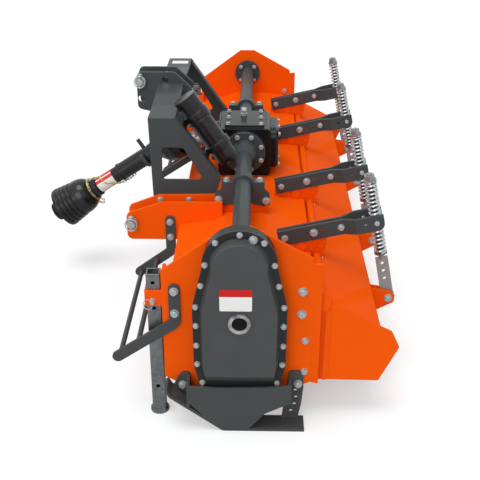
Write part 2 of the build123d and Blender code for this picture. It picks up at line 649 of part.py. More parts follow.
# ---- parking stands ----------------------------------------------------------------------
LEG_AT = (ROTOR_X + FRONT_X + SLEEVE_WALL + SLIDING + LEG_SIDE / 2, INNER - SLEEVE_WALL - SLIDING - LEG_SIDE / 2 - 2)
sleeve_bore = LEG_SIDE + 2 * SLIDING
sleeve_side = sleeve_bore + 2 * SLEEVE_WALL
with BuildPart() as stand_sleeve:
    with BuildSketch(Plane(origin=(*LEG_AT, SLEEVE_Z[0]))) as tube:
        Rectangle(sleeve_side, sleeve_side)
        Rectangle(sleeve_bore, sleeve_bore, mode=Mode.SUBTRACT)
    extrude(tube.sketch, amount=SLEEVE_Z[1] - SLEEVE_Z[0])
both_sides(stand_sleeve, "stand_sleeve")

FOOT_THICK = 8
LEG_HOLES = (101, 381, 466)
with BuildPart() as parking_leg:
    with BuildSketch(Plane(origin=(*LEG_AT, FOOT_THICK))) as tube:
        Rectangle(LEG_SIDE, LEG_SIDE)
        Rectangle(LEG_SIDE - 2 * LEG_WALL, LEG_SIDE - 2 * LEG_WALL, mode=Mode.SUBTRACT)
    extrude(tube.sketch, amount=LEG_TOP - FOOT_THICK)
    with BuildSketch(Plane(origin=(*LEG_AT, 0))) as foot:
        Circle(FOOT_R)
    extrude(foot.sketch, amount=FOOT_THICK)
    with Locations(*[(LEG_AT[0], LEG_AT[1], up) for up in LEG_HOLES]):
        Cylinder(6, 2 * LEG_SIDE, rotation=(90, 0, 0), mode=Mode.SUBTRACT)
both_sides(parking_leg, "parking_leg")

# ---- front guards ------------------------------------------------------------------------
OUTER_ARM = ((190, 458), (190, 346), (365, 226))
INNER_ARM = ((251, 428), (251, 310), (365, 226))
ARM_TIP = GUARD_WIDE / 2
with BuildPart() as front_guard:
    guard_in = clevis_out + PLATE
    for line, y_low in ((OUTER_ARM, HALF), (INNER_ARM, guard_in)):
        strip(line, GUARD_WIDE, y_low, y_low + STRAP, 20)
        disc(line[0], ARM_TIP, y_low, y_low + STRAP)
        disc(line[-1], ARM_TIP, y_low, y_low + STRAP)
    for at in GUARD_RODS:
        disc(at, GUARD_ROD_R, guard_in + STRAP, HALF)
both_sides(front_guard, "front_guard")

# ---- manual canister, strapped behind the headstock's rear flange ---------------------------
CAN_R = 42
CAN_LONG = 268
CAN_CAP = 88
CAN_BAND = 4
CAN_Y = 316
slope = Vector(HEAD_LINE[3][0] - HEAD_LINE[2][0], 0, HEAD_LINE[3][1] - HEAD_LINE[2][1]).normalized()
behind = Vector(slope.Z, 0, -slope.X)
flange_back = Vector(ROTOR_X + 226.5, 0, BRIDGE_Z - 9) + behind * 4
can_top = flange_back + behind * (CAN_R + CAN_BAND) - slope * 34
with BuildPart() as manual_canister:
    top = Plane(origin=can_top + Vector(0, CAN_Y, 0), x_dir=(0, 1, 0), z_dir=slope)
    for low, high, radius in ((0, CAN_CAP, CAN_R), (CAN_CAP, CAN_CAP + 8, CAN_R + 3),
                              (CAN_CAP + 8, CAN_LONG - 14, CAN_R - 2)):
        with BuildSketch(top.offset(low)):
            Circle(radius)
        extrude(amount=high - low)
    with BuildSketch(top.offset(CAN_LONG - 14)):
        Circle(CAN_R - 2)
    extrude(amount=14, taper=18)
    # two bands, each with a tab that lies on the flange
    for low in (60, 190):
        with BuildSketch(top.offset(low)) as band:
            Circle(CAN_R + CAN_BAND)
            with Locations(((HEAD_Y - HEAD_SHEET - CAN_Y) / 2, CAN_R + CAN_BAND / 2)):
                Rectangle(HEAD_Y - HEAD_SHEET - CAN_Y, CAN_BAND)
        extrude(band.sketch, amount=22)
finish(manual_canister, "manual_canister")

# ---- drive shaft -------------------------------------------------------------------------
down = radians(PTO_DOWN)
pto_dir = (cos(down), 0, -sin(down))


def on_shaft(s):
    """Plane square to the drive shaft, s along it from the joint."""
    return Plane(origin=(ROTOR_X + JOINT[0] + pto_dir[0] * s, 0, JOINT[1] + pto_dir[2] * s),
                 x_dir=(0, 1, 0), z_dir=pto_dir)


def round_length(s_low, s_high, radius, mode=Mode.ADD):
    """A round length of the drive shaft or its guard."""
    with BuildSketch(on_shaft(s_low)) as cut:
        Circle(radius)
    extrude(cut.sketch, amount=s_high - s_low, mode=mode)


def bell(profile, wall):
    """A guard cone, its wall turned about the drive shaft from (along, radius) pairs."""
    inner = [(s, r - wall) for s, r in reversed(profile)]
    with BuildSketch(Plane(origin=on_shaft(0).origin, x_dir=pto_dir, z_dir=(0, -1, 0))) as cut:
        with BuildLine():
            Polyline(*profile, *inner, close=True)
        make_face()
    revolve(cut.sketch, axis=Axis(on_shaft(0).origin, pto_dir))


OUTER_GUARD_R = 34.5
INNER_GUARD_R = 31.5
GUARD_WALL = 4
TUBE_WALL = 2.5
LIP = 2
NECK_R = 38.5
COLLAR_AT = 250
GUARD_END = 96
SHAFT_R = 20
with BuildPart() as pto_yoke:
    # fork, cross and shaft of the joint's outer half
    round_length(30, 60, 30)
    round_length(60, COLLAR_AT - 20, SHAFT_R)
    for hand in (1, -1):
        with BuildSketch(Plane(origin=on_shaft(0).origin, x_dir=pto_dir,
                               z_dir=(0, 1, 0))) as ear:
            with Locations((12, hand * 24)):
                Rectangle(60, 10)
        extrude(ear.sketch, amount=18, both=True)
    disc(JOINT, 9, -39, 39)
    with BuildSketch(Plane(origin=on_shaft(0).origin, x_dir=pto_dir, z_dir=(0, 1, 0))) as pin:
        Rectangle(18, 44)
    extrude(pin.sketch, amount=9, both=True)
finish(pto_yoke, "pto_yoke")

with BuildPart() as pto_guard:
    bell(((-24, 82), (10, 80), (40, 70), (70, OUTER_GUARD_R + 3), (GUARD_END, OUTER_GUARD_R + 2)), GUARD_WALL)
    round_length(GUARD_END - 10, COLLAR_AT, OUTER_GUARD_R)
    round_length(COLLAR_AT - 8, COLLAR_AT, OUTER_GUARD_R + LIP)
    round_length(GUARD_END - 12, COLLAR_AT, OUTER_GUARD_R - TUBE_WALL, Mode.SUBTRACT)
    # bearing ring that carries the guard on the shaft
    round_length(GUARD_END - 12, GUARD_END - 2, OUTER_GUARD_R - 1)
    round_length(GUARD_END - 12, GUARD_END - 2, SHAFT_R + RUNNING, Mode.SUBTRACT)
finish(pto_guard, "pto_guard")

NECK_AT = 392
MOUTH_AT = 534
BELL_RIBS = 5
RIB_PITCH = 18
RIB_GROW = 2.5
YOKE_END = 570
BORE_LONG = 48
with BuildPart() as pto_outer_guard:
    round_length(GUARD_END + 40, NECK_AT, INNER_GUARD_R)
    round_length(NECK_AT - 34, NECK_AT, NECK_R)
    round_length(GUARD_END + 38, NECK_AT + 2, SHAFT_R + 6, Mode.SUBTRACT)
finish(pto_outer_guard, "pto_outer_guard")

with BuildPart() as pto_bell:
    profile = [(NECK_AT - 16, NECK_R + GUARD_WALL), (NECK_AT, NECK_R + GUARD_WALL),
               (NECK_AT + 3, 51), (NECK_AT + 12, 60), (NECK_AT + 26, 67), (NECK_AT + 44, 71)]
    for n in range(BELL_RIBS):
        s = NECK_AT + 52 + n * RIB_PITCH
        r = BELL_R - (BELL_RIBS - 1 - n) * RIB_GROW
        profile += [(s + 4, r - 0.5), (s + 12, r), (s + RIB_PITCH, r - 3.5)]
    profile[-1] = (MOUTH_AT, BELL_R)
    bell(profile, GUARD_WALL)
finish(pto_bell, "pto_bell")

with BuildPart() as pto_outer_yoke:
    round_length(GUARD_END + 60, NECK_AT + 10, SHAFT_R + 5)
    round_length(GUARD_END + 58, COLLAR_AT - 5, SHAFT_R + 1, Mode.SUBTRACT)
    round_length(NECK_AT + 10, YOKE_END - 62, 30)
    round_length(YOKE_END - 62, YOKE_END, 38)
    round_length(YOKE_END - BORE_LONG, YOKE_END, 17.5, Mode.SUBTRACT)
finish(pto_outer_yoke, "pto_outer_yoke")

REST_AT = 118                   # rest, from the joint along the drive shaft
REST_GAP = 0.3
REST_SIDE = 5.5                 # room each side of the guard
REST_LOW = 108                  # arm below the drive shaft
REST_Y = -34
REST_DEEP = 24
REST_THICK = 12
REST_JOIN = 24.8                # the strap meets the arm, below the guard's middle
with BuildPart() as pto_rest:
    hook_r = OUTER_GUARD_R + REST_SIDE
    rise = REST_SIDE - REST_GAP
    with BuildSketch(on_shaft(REST_AT)) as hook:
        with Locations((0, rise)):
            Circle(hook_r + STRAP)
            Circle(hook_r, mode=Mode.SUBTRACT)
        with Locations((0, rise + 60)):
            Rectangle(120, 120, mode=Mode.SUBTRACT)
        with Locations((hook_r + STRAP / 2, rise + 10)):
            Rectangle(STRAP, 20)
        with Locations((-hook_r - STRAP / 2, rise + 30)):
            Rectangle(STRAP, 60)
        with Locations((REST_Y, (-REST_JOIN - REST_LOW) / 2)):
            Rectangle(REST_THICK, REST_LOW - REST_JOIN)
    extrude(hook.sketch, amount=14)
    # arm from the gearbox's nose, level with the shaft's slope
    nose_s = (BOX_FRONT + 26 - JOINT[0] + REST_LOW * sin(down)) / cos(down)
    with BuildSketch(Plane(origin=on_shaft(0).origin + Vector(0, REST_Y, 0), x_dir=pto_dir,
                           z_dir=(0, -1, 0))) as arm:
        with Locations(((nose_s - 20 + REST_AT + 24) / 2, -REST_LOW)):
            Rectangle(REST_AT + 24 - nose_s + 20, REST_DEEP)
    extrude(arm.sketch, amount=REST_THICK / 2, both=True)
    slab(((0, 300), (BOX_FRONT + 26, 300), (BOX_FRONT + 26, 700), (0, 700)), REST_Y - 50, REST_Y + 50,
         mode=Mode.SUBTRACT)
finish(pto_rest, "pto_rest")
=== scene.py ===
"""Rotavator, a rotary tiller for a tractor's three-point hitch: its finishes and small fittings.

Metres. +X forward, towards the tractor; +Y to the drive side; +Z up; the ground is z = 0.
"""
import json
from math import cos, pi, radians, sin, tau

import bmesh
import bpy
from mathutils import Matrix, Vector


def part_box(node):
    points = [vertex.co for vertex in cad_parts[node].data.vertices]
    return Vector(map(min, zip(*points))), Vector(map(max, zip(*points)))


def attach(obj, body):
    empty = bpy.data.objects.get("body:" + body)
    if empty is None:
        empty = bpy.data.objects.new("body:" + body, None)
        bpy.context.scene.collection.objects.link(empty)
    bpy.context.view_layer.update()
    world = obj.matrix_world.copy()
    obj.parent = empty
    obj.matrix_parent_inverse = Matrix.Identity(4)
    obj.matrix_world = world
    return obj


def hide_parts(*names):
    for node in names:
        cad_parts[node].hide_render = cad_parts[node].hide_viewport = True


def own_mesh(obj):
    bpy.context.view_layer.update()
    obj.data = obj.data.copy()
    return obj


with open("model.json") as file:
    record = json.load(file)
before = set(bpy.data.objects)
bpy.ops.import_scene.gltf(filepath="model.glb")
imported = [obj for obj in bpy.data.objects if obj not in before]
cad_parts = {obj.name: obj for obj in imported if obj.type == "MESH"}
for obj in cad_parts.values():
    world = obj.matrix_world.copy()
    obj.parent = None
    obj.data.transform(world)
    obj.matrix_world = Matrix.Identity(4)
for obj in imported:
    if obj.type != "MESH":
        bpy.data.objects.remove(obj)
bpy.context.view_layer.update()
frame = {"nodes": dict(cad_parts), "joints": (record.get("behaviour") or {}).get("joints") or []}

# ---- side plates -------------------------------------------------------------------------
# Two flanged plates of 10 mm steel close the ends of the machine and carry the rotor's bearings. They are
# powder coated in a bright orange, with a slight orange peel, and a lighter line is painted over the cut
# edges, as a highlight and as the coat thinning there.
EDGE_R = 0.0022                 # of an edge that is cut and coated
ORANGE = (0.96, 0.116, 0.004, 1)
ORANGE_DEEP = (0.90, 0.096, 0.003, 1)
# lighter, painted along cut edges as a highlight and as the thin coat there
ORANGE_EDGE_HIGHLIGHT = (1.0, 0.24, 0.05, 1)


class Value:
    """A shader socket that takes part in Python sums."""

    def __init__(self, nodes, socket):
        self.nodes = nodes
        self.socket = socket

    def __add__(self, other):
        return self.nodes.sum_of("ADD", self, other)

    def __sub__(self, other):
        return self.nodes.sum_of("SUBTRACT", self, other)

    def __rsub__(self, other):
        return self.nodes.sum_of("SUBTRACT", other, self)

    def __mul__(self, other):
        return self.nodes.sum_of("MULTIPLY", self, other)

    def __gt__(self, other):
        return self.nodes.sum_of("GREATER_THAN", self, other)

    __radd__ = __add__
    __rmul__ = __mul__


class Nodes:
    """The node tree of a material or the world. Nodes come from node(), and sums from Value."""

    def __init__(self, owner):
        owner.use_nodes = True
        self.tree = owner.node_tree
        self.tree.nodes.clear()

    def node(self, kind, settings=None, sockets=None, out=0):
        """A node with its settings made first, then the values or links of its sockets."""
        made = self.tree.nodes.new(kind)
        for name, value in (settings or {}).items():
            setattr(made, name, value)
        for key, value in (sockets or {}).items():
            if isinstance(value, Value):
                self.tree.links.new(value.socket, made.inputs[key])
            else:
                made.inputs[key].default_value = value
        return Value(self, made.outputs[out]) if made.outputs else None

    def sum_of(self, operation, *terms):
        """A Math node on values, numbers or both."""
        return self.node("ShaderNodeMath", {"operation": operation}, dict(enumerate(terms)))


class Finish(Nodes):
    """A material, with the patterns that the finishes share."""

    def __init__(self, name):
        self.material = bpy.data.materials.new(name)
        super().__init__(self.material)
        self.place = self.node("ShaderNodeTexCoord", out="Object")

    def within(self, amount):
        """An amount held between 0 and 1."""
        return self.node("ShaderNodeClamp", None, {"Value": amount})

    def mix(self, share, first, second):
        return self.node("ShaderNodeMix", {"data_type": "RGBA"}, {0: share, 6: first, 7: second}, out=2)

    def noise(self, scale, detail, place=None):
        return self.node("ShaderNodeTexNoise", None,
                         {"Vector": place or self.place, "Scale": scale, "Detail": detail})

    def stretched(self, along):
        """The place, with its X, Y and Z multiplied, so that a pattern runs along the smallest."""
        return self.node("ShaderNodeMapping", None, {"Vector": self.place, "Scale": along}, out="Vector")

    def axis(self, letter):
        """How far along X, Y or Z the place is."""
        return self.node("ShaderNodeSeparateXYZ", None, {0: self.place}, out=letter)

    def rounded(self, radius):
        """The normal as it would be with every edge rounded."""
        return self.node("ShaderNodeBevel", {"samples": 4}, {"Radius": radius})

    def near_edge(self, normal):
        """How near an edge is: 0 where a rounded normal is the face's own, up to 1 at a sharp edge."""
        face = self.node("ShaderNodeNewGeometry", out="Normal")
        meet = self.node("ShaderNodeVectorMath", {"operation": "DOT_PRODUCT"}, {0: normal, 1: face},
                         out="Value")
        return self.within((1 - meet) * 3)

    def bump(self, height, strength, distance, normal):
        return self.node("ShaderNodeBump", None, {"Height": height, "Strength": strength,
                                                  "Distance": distance, "Normal": normal})

    def surface(self, **sockets):
        shader = self.node("ShaderNodeBsdfPrincipled", None, sockets)
        self.node("ShaderNodeOutputMaterial", None, {"Surface": shader})
        return self.material


def powder_coat(name, colour, deep, edge_highlight_colour, roughness, coat, specular):
    """Baked powder coat: orange peel, a faint mottle, and a lighter line painted over cut edges, as a
    highlight and as the thin coat there.
    """
    paint = Finish(name)
    normal = paint.rounded(EDGE_R)
    edge = paint.near_edge(normal)
    mottle = paint.noise(2.4, 3.0)
    tone = paint.mix(paint.within((mottle - 0.35) * 1.6), deep, colour)
    peel = paint.noise(420.0, 1.0)
    return paint.surface(**{
        # cut edges are painted lighter, as a highlight and as the thin coat there
        "Base Color": paint.mix(edge * 0.55, tone, edge_highlight_colour),
        "Roughness": roughness + (paint.noise(38.0, 4.0) - 0.5) * 0.16 + edge * 0.08,
        "Specular IOR Level": specular, "Coat Weight": coat, "Coat Roughness": 0.06,
        "Normal": paint.bump(peel, 0.05, 0.0006, normal)})


orange = powder_coat("orange powder coat", ORANGE, ORANGE_DEEP, ORANGE_EDGE_HIGHLIGHT, roughness=0.34, coat=0.06,
                     specular=0.0)


def dress(material, *names):
    """Give CAD nodes their finish."""
    for name in names:
        frame["nodes"][name].material_slots[0].material = material


def middle(name):
    """The middle of a CAD node's box."""
    low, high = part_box(name)
    return (low + high) / 2


dress(orange, "side_plate_left", "side_plate_right")
ROTOR_X = middle("rotor_tube").x
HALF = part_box("gear_case")[0].y     # outer face of the drive side's plate
PLATE = 0.010
PLATE_INNER = HALF - PLATE


def at(x, z, y):
    """A place from millimetres forward of the rotor and above the ground, at y metres across."""
    return Vector((ROTOR_X + x / 1000, y, z / 1000))


def spots(table, y):
    """A place for each pair of millimetres forward of the rotor and above the ground."""
    return [at(x, z, y) for x, z in table]


def towards(place, direction):
    """The turn and shift that put +Z along a direction at a place."""
    return Matrix.Translation(place) @ Vector(direction).to_track_quat("Z", "Y").to_matrix().to_4x4()


# ---- plain zinc fasteners on the side plates ---------------------------------------------
# Hexagon bolts, zinc plated with a clear passivation, hold everything together. Four of them down each side
# plate's rear edge clamp the hood's end stiffener, and one nut shows on the plate's inner face.
ZINC = (0.57, 0.60, 0.60, 1)
ZINC_DULL = (0.35, 0.375, 0.375, 1)


def plated(name, bright, dull, roughness, grain, metallic=0.7):
    """Plated or turned metal: a dull crystalline film over a bright one."""
    metal = Finish(name)
    normal = metal.rounded(0.0006)
    film = metal.noise(grain, 4.0)
    return metal.surface(**{
        "Base Color": metal.mix(metal.within((film - 0.3) * 1.8), dull, bright),
        "Metallic": metallic,
        "Roughness": roughness + (film - 0.5) * 0.25 - metal.near_edge(normal) * 0.08,
        "Normal": metal.bump(metal.noise(grain * 4, 2.0), 0.12, 0.0003, normal)})


zinc = plated("zinc plate", ZINC, ZINC_DULL, roughness=0.30, grain=160.0, metallic=0.42)
HEAD_TALL = 0.42                # these are shares of the width across flats
HEAD_CHAMFER = 0.07
HEAD_CROWN = 0.05
WASHER_WIDE = 1.42
WASHER_TALL = 0.12
WASHER_TAPER = 0.95             # of its own width, at the top
SHARP = 38                      # degrees past which an edge is shaded sharp


def bolt(shape, place, direction, flats, washer=True):
    """A hexagon head with a chamfered top, on a round washer, standing on a face."""
    turn = towards(place, direction)
    seat = WASHER_TALL * flats if washer else 0
    if washer:
        wide = flats * WASHER_WIDE / 2
        bmesh.ops.create_cone(shape, cap_ends=True, segments=20, radius1=wide, radius2=wide * WASHER_TAPER,
                              depth=seat, matrix=turn @ Matrix.Translation((0, 0, seat / 2)))
    tall = flats * HEAD_TALL
    corner = flats / 2 / cos(pi / 6)
    head = bmesh.ops.create_cone(shape, cap_ends=True, segments=6, radius1=corner, radius2=corner,
                                 depth=tall, matrix=turn @ Matrix.Translation((0, 0, seat + tall / 2)))
    top = max({face for vert in head["verts"] for face in vert.link_faces},
              key=lambda face: face.calc_center_median().dot(Vector(direction)))
    bmesh.ops.inset_individual(shape, faces=[top], thickness=flats * HEAD_CHAMFER, depth=flats * HEAD_CROWN)


def piece(name, shape, body, material):
    """Turn a bmesh into a piece that rides on a body and wears the finish it is given."""
    mesh = bpy.data.meshes.new(name)
    shape.to_mesh(mesh)
    shape.free()
    mesh.materials.append(material)
    mesh.shade_smooth()
    mesh.set_sharp_from_angle(angle=radians(SHARP))
    made = bpy.data.objects.new(name, mesh)
    bpy.context.scene.collection.objects.link(made)
    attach(made, body)
    return made


def bolts(name, places, direction, flats, body="frame", washer=True, material=zinc):
    """A group of like bolts as one piece."""
    shape = bmesh.new()
    for place in places:
        bolt(shape, place, direction, flats, washer)
    return piece(name, shape, body, material)


UPPER_BOLTS = ((-181, 452), (-180, 377))
LOWER_BOLTS = ((-193, 285), (-193, 175))
INNER_NUT = ((-184, 454),)
SIDES = ((1, "left"), (-1, "right"))
for hand, side in SIDES:
    bolts(f"side_plate_bolts_{side}", spots(UPPER_BOLTS, hand * HALF), (0, hand, 0), flats=0.020)
    bolts(f"side_plate_lower_bolts_{side}", spots(LOWER_BOLTS, hand * HALF), (0, hand, 0), flats=0.016)
    bolts(f"side_plate_nuts_{side}", spots(INNER_NUT, hand * PLATE_INNER), (0, -hand, 0), flats=0.018)

# ---- hood and tailgate -------------------------------------------------------------------
# The hood is one folded sheet between the side plates. The tailgate hangs from it on a full-length hinge rod,
# with a wing welded to each end, whose front edge turns out in a narrow lip, and four pairs of ears for the
# spring rods. A small ear at each end holds the rod, and strips close the sheet beside the lugs. All of it is
# orange, as the rotor's tube is.
dress(orange, "hood_deck", "gate_lugs", "tailgate_panel", "tailgate_wings", "tailgate_brackets",
      "hitch_plates_left", "hitch_plates_right", "stand_sleeve_left", "stand_sleeve_right", "rotor_tube")
dress(zinc, "gate_hinge_rod", "lower_hitch_pins", "top_hitch_pin")

HINGE = (-240, 418)
HINGE_EAR_LINE = ((-228, 380), (-256, 380), (-265, 402), (-264, 428), (-250, 441), (-228, 441))
HINGE_EAR_IN = 0.9862           # its inner and outer face
HINGE_EAR_OUT = 0.9915
WING_OUT = 0.985
LIP_LINE = ((-252, 382.5), (-270, 382.5), (-268, 137), (-250, 137))
LIP_FRONT = 0.258               # behind the rotor; the lip's front edge lies forward of it
LIP_THIN = 0.0004
LIP_HIGH = 0.007
ROWS = (-0.700, -0.282, 0.282, 0.700)       # middles of the lugs, their arms and the spring rods
SHEET_HALF = 2.7                # a fill is in millimetres, square to the panel and down it
GATE_SLOPE = (-0.880, -0.475)   # down the tailgate's upper panel from the hinge
FILL_FROM = 27
FILL_TO = 43.5
FILL_HALF = 0.0119              # in metres, across
FILL_LINE = ((FILL_FROM, -SHEET_HALF), (FILL_TO, -SHEET_HALF), (FILL_TO, SHEET_HALF), (FILL_FROM, SHEET_HALF))


def moved(grown):
    """The vertices of what an extrusion made."""
    return [item for item in grown["geom"] if isinstance(item, bmesh.types.BMVert)]


def plate(shape, outline, low, high, hand=1):
    """A flat plate cut to an outline, between two distances across."""
    face = shape.faces.new([shape.verts.new(place) for place in spots(outline, hand * low)])
    grown = bmesh.ops.extrude_face_region(shape, geom=[face])
    bmesh.ops.translate(shape, verts=moved(grown), vec=(0, hand * (high - low), 0))


def gate_place(along, up):
    """A side position down the tailgate's upper panel from its hinge, and square to it."""
    return (HINGE[0] + GATE_SLOPE[0] * along + GATE_SLOPE[1] * up,
            HINGE[1] + GATE_SLOPE[1] * along - GATE_SLOPE[0] * up)


ears = bmesh.new()
lips = bmesh.new()
for hand in (1, -1):
    plate(ears, HINGE_EAR_LINE, HINGE_EAR_IN, HINGE_EAR_OUT, hand)
    plate(lips, LIP_LINE, WING_OUT, WING_OUT + LIP_THIN, hand)
for shape in (ears, lips):
    bmesh.ops.recalc_face_normals(shape, faces=shape.faces[:])
for vert in lips.verts:
    if abs(vert.co.y) > WING_OUT + LIP_THIN / 2 and vert.co.x > ROTOR_X - LIP_FRONT:
        vert.co.y += LIP_HIGH * (1 if vert.co.y > 0 else -1)
piece("hinge_ears", ears, "frame", orange)
piece("wing_lips", lips, "tailgate", orange)

fills = bmesh.new()
for row in ROWS:
    plate(fills, [gate_place(along, up) for along, up in FILL_LINE], row - FILL_HALF, row + FILL_HALF)
bmesh.ops.recalc_face_normals(fills, faces=fills.faces[:])
piece("slot_fills", fills, "tailgate", orange)

# ---- charcoal fittings -------------------------------------------------------------------
# The skids, the front guards and the drive shaft's rest are powder coated in a satin charcoal grey, with a
# lighter line painted over the edges as a highlight. The headstock, the tailgate's arms and the cross shaft's
# tubes and saddles take a bluer copy of it, painted to cancel the orange light that bounces onto them.
CHARCOAL = (0.074, 0.0765, 0.078, 1)
CHARCOAL_DEEP = (0.064, 0.0665, 0.068, 1)
# lighter grey, painted along edges as a highlight
CHARCOAL_EDGE_HIGHLIGHT = (0.21, 0.21, 0.21, 1)
# bluer, painted to cancel the orange light bounced onto these parts
CHARCOAL_AGAINST_BOUNCE = (0.066, 0.0765, 0.080, 1)
CHARCOAL_AGAINST_BOUNCE_DEEP = (0.057, 0.0665, 0.070, 1)
SATIN = {"roughness": 0.40, "coat": 0.12, "specular": 0.06}
charcoal = powder_coat("charcoal powder coat", CHARCOAL, CHARCOAL_DEEP, CHARCOAL_EDGE_HIGHLIGHT, **SATIN)
charcoal_against_bounce = powder_coat("charcoal powder coat tinted against bounce", CHARCOAL_AGAINST_BOUNCE, CHARCOAL_AGAINST_BOUNCE_DEEP, CHARCOAL_EDGE_HIGHLIGHT, **SATIN)
dress(charcoal, "skid_left", "skid_right", "front_guard_left", "front_guard_right", "pto_rest")
dress(charcoal_against_bounce, "headstock_plate_left", "headstock_plate_right", "headstock_ears", "gate_arms",
      "tube_saddles", "axle_tube_left", "axle_tube_right")

# ---- black castings ----------------------------------------------------------------------
# The gearbox, the gear case's wall, the bearing housings and the drive shaft's outer yoke are iron castings
# under gloss black paint, so a sandy grain shows through the coat, and a lighter line is painted along their
# edges as a highlight. The gear case's cover is a deep drawn pressing, charcoal on its dome and black on its
# rim.
BLACK = (0.009, 0.010, 0.011, 1)
# lighter, painted along the castings' edges as a highlight
BLACK_EDGE_HIGHLIGHT = (0.06, 0.062, 0.065, 1)


def cast_iron(name):
    """Painted sand casting, with a lighter line painted along its edges as a highlight."""
    casting = Finish(name)
    normal = casting.rounded(0.004)
    sand = casting.noise(150.0, 5.0)
    return casting.surface(**{
        # edges painted lighter as a highlight
        "Base Color": casting.mix(casting.near_edge(normal) * 0.8, BLACK, BLACK_EDGE_HIGHLIGHT),
        "Roughness": 0.24 + (casting.noise(24.0, 3.0) - 0.5) * 0.16,
        "Specular IOR Level": 0.14, "Coat Weight": 0.1, "Coat Roughness": 0.07,
        "Normal": casting.bump(sand, 0.25, 0.0012, normal)})


black_iron = cast_iron("black painted iron")
dress(black_iron, "gearbox", "gear_case", "rotor_bearings", "bearing_cap_right", "pto_outer_yoke")
cover_back, cover_face = (corner.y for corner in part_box("gear_case_cover"))
RIM_THICK = 0.0072              # the black reaches a little way up the dome's wall
RIM_BLACK = (0.020, 0.021, 0.022, 1)


def dome_and_dark_rim(name):
    """The cover's charcoal dome, and its glossier rim, near black."""
    cover = Finish(name)
    normal = cover.rounded(0.003)
    dome = cover.axis("Y") > cover_back + RIM_THICK
    mottle = cover.within((cover.noise(9.0, 4.0) - 0.35) * 1.6)
    grey = cover.mix(mottle, CHARCOAL_DEEP, CHARCOAL)
    tone = cover.mix(dome, RIM_BLACK, grey)
    return cover.surface(**{
        # edges painted lighter as a highlight
        "Base Color": cover.mix(cover.near_edge(normal) * 0.5, tone, CHARCOAL_EDGE_HIGHLIGHT),
        "Roughness": 0.30 + dome * 0.10 + (cover.noise(38.0, 4.0) - 0.5) * 0.14,
        "Specular IOR Level": 0.1, "Coat Weight": 0.30 - dome * 0.10, "Coat Roughness": 0.06,
        "Normal": cover.bump(cover.noise(420.0, 1.0), 0.05, 0.0006, normal)})


dress(dome_and_dark_rim("cover with dark rim"), "gear_case_cover")

# ---- moulded black plastic ---------------------------------------------------------------
# The drive shaft's guards, its bell and the manual's canister are moulded in black polyethylene, which has a
# waxy sheen and fine scuffs along its length. Its edges and ribs are painted lighter as a highlight.
PLASTIC = (0.010, 0.011, 0.012, 1)
# lighter grey: the scuffs, and the highlight painted on edges and ribs
PLASTIC_SCUFF_AND_HIGHLIGHT = (0.042, 0.042, 0.044, 1)


def polyethylene(name):
    """Black moulding, scuffed along its length, with a lighter highlight painted on its edges."""
    moulding = Finish(name)
    normal = moulding.rounded(0.006)
    edge = moulding.near_edge(normal)
    scuff = moulding.noise(60.0, 6.0, moulding.stretched((1.0, 0.25, 1.0)))
    return moulding.surface(**{
        # scuffs, and edges painted lighter as a highlight
        "Base Color": moulding.mix(moulding.within((scuff - 0.55) * 3 + edge * 0.9), PLASTIC, PLASTIC_SCUFF_AND_HIGHLIGHT),
        "Roughness": 0.20 + (scuff - 0.5) * 0.16,
        "Specular IOR Level": 0.28, "Coat Weight": 0.12, "Coat Roughness": 0.22,
        "Normal": moulding.bump(moulding.noise(220.0, 2.0), 0.08, 0.0004, normal)})


black_plastic = polyethylene("black polyethylene")
dress(black_plastic, "pto_guard", "pto_outer_guard", "pto_bell", "manual_canister")

# ---- bright and bare metal ---------------------------------------------------------------
# Springs are bright zinc on rods, which are painted dark inside the coils as the shade there. The stands are
# hot-dip galvanised tube with a soft spangle. The gearbox's shaft and the yoke on it are turned steel, and
# the level glass has a chromed ring. The tines are forged spring steel, dark from the furnace.
SPRING_BRIGHT = (0.82, 0.86, 0.87, 1)
SPRING_DULL = (0.40, 0.43, 0.44, 1)
spring_zinc = plated("bright spring zinc", SPRING_BRIGHT, SPRING_DULL, roughness=0.24, grain=70.0)
dress(spring_zinc, "trunnion_blocks")
ROD_BRIGHT = (0.32, 0.325, 0.33, 1)
# dark, painted on the rod inside its coils as shade
ROD_COIL_SHADE = (0.060, 0.062, 0.064, 1)
COILS_FROM = 0.418              # height of the coils' lower end
ROD_END = 0.040                 # the rod's upper end with its nut, which stays bright
COILS_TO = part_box("spring_rods")[1].z - ROD_END


def rod_steel(name):
    """A rod painted dark inside its coils, as the shade there, and plated below them."""
    rod = Finish(name)
    normal = rod.rounded(0.0008)
    film = rod.noise(60.0, 4.0)
    # painted shade: dark between the coils' ends
    coil_shade = rod.within((rod.axis("Z") - COILS_FROM) * 60) * rod.within((COILS_TO - rod.axis("Z")) * 60)
    return rod.surface(**{
        "Base Color": rod.mix(rod.within(coil_shade * 0.9 + (film - 0.5) * 0.4), ROD_BRIGHT, ROD_COIL_SHADE),
        "Metallic": 0.6,
        "Roughness": 0.36 + (film - 0.5) * 0.2,
        "Normal": rod.bump(rod.noise(240.0, 2.0), 0.1, 0.0003, normal)})


dress(rod_steel("rod steel"), "spring_rods")

GALV_LIGHT = (0.26, 0.27, 0.275, 1)
GALV_DARK = (0.13, 0.137, 0.142, 1)


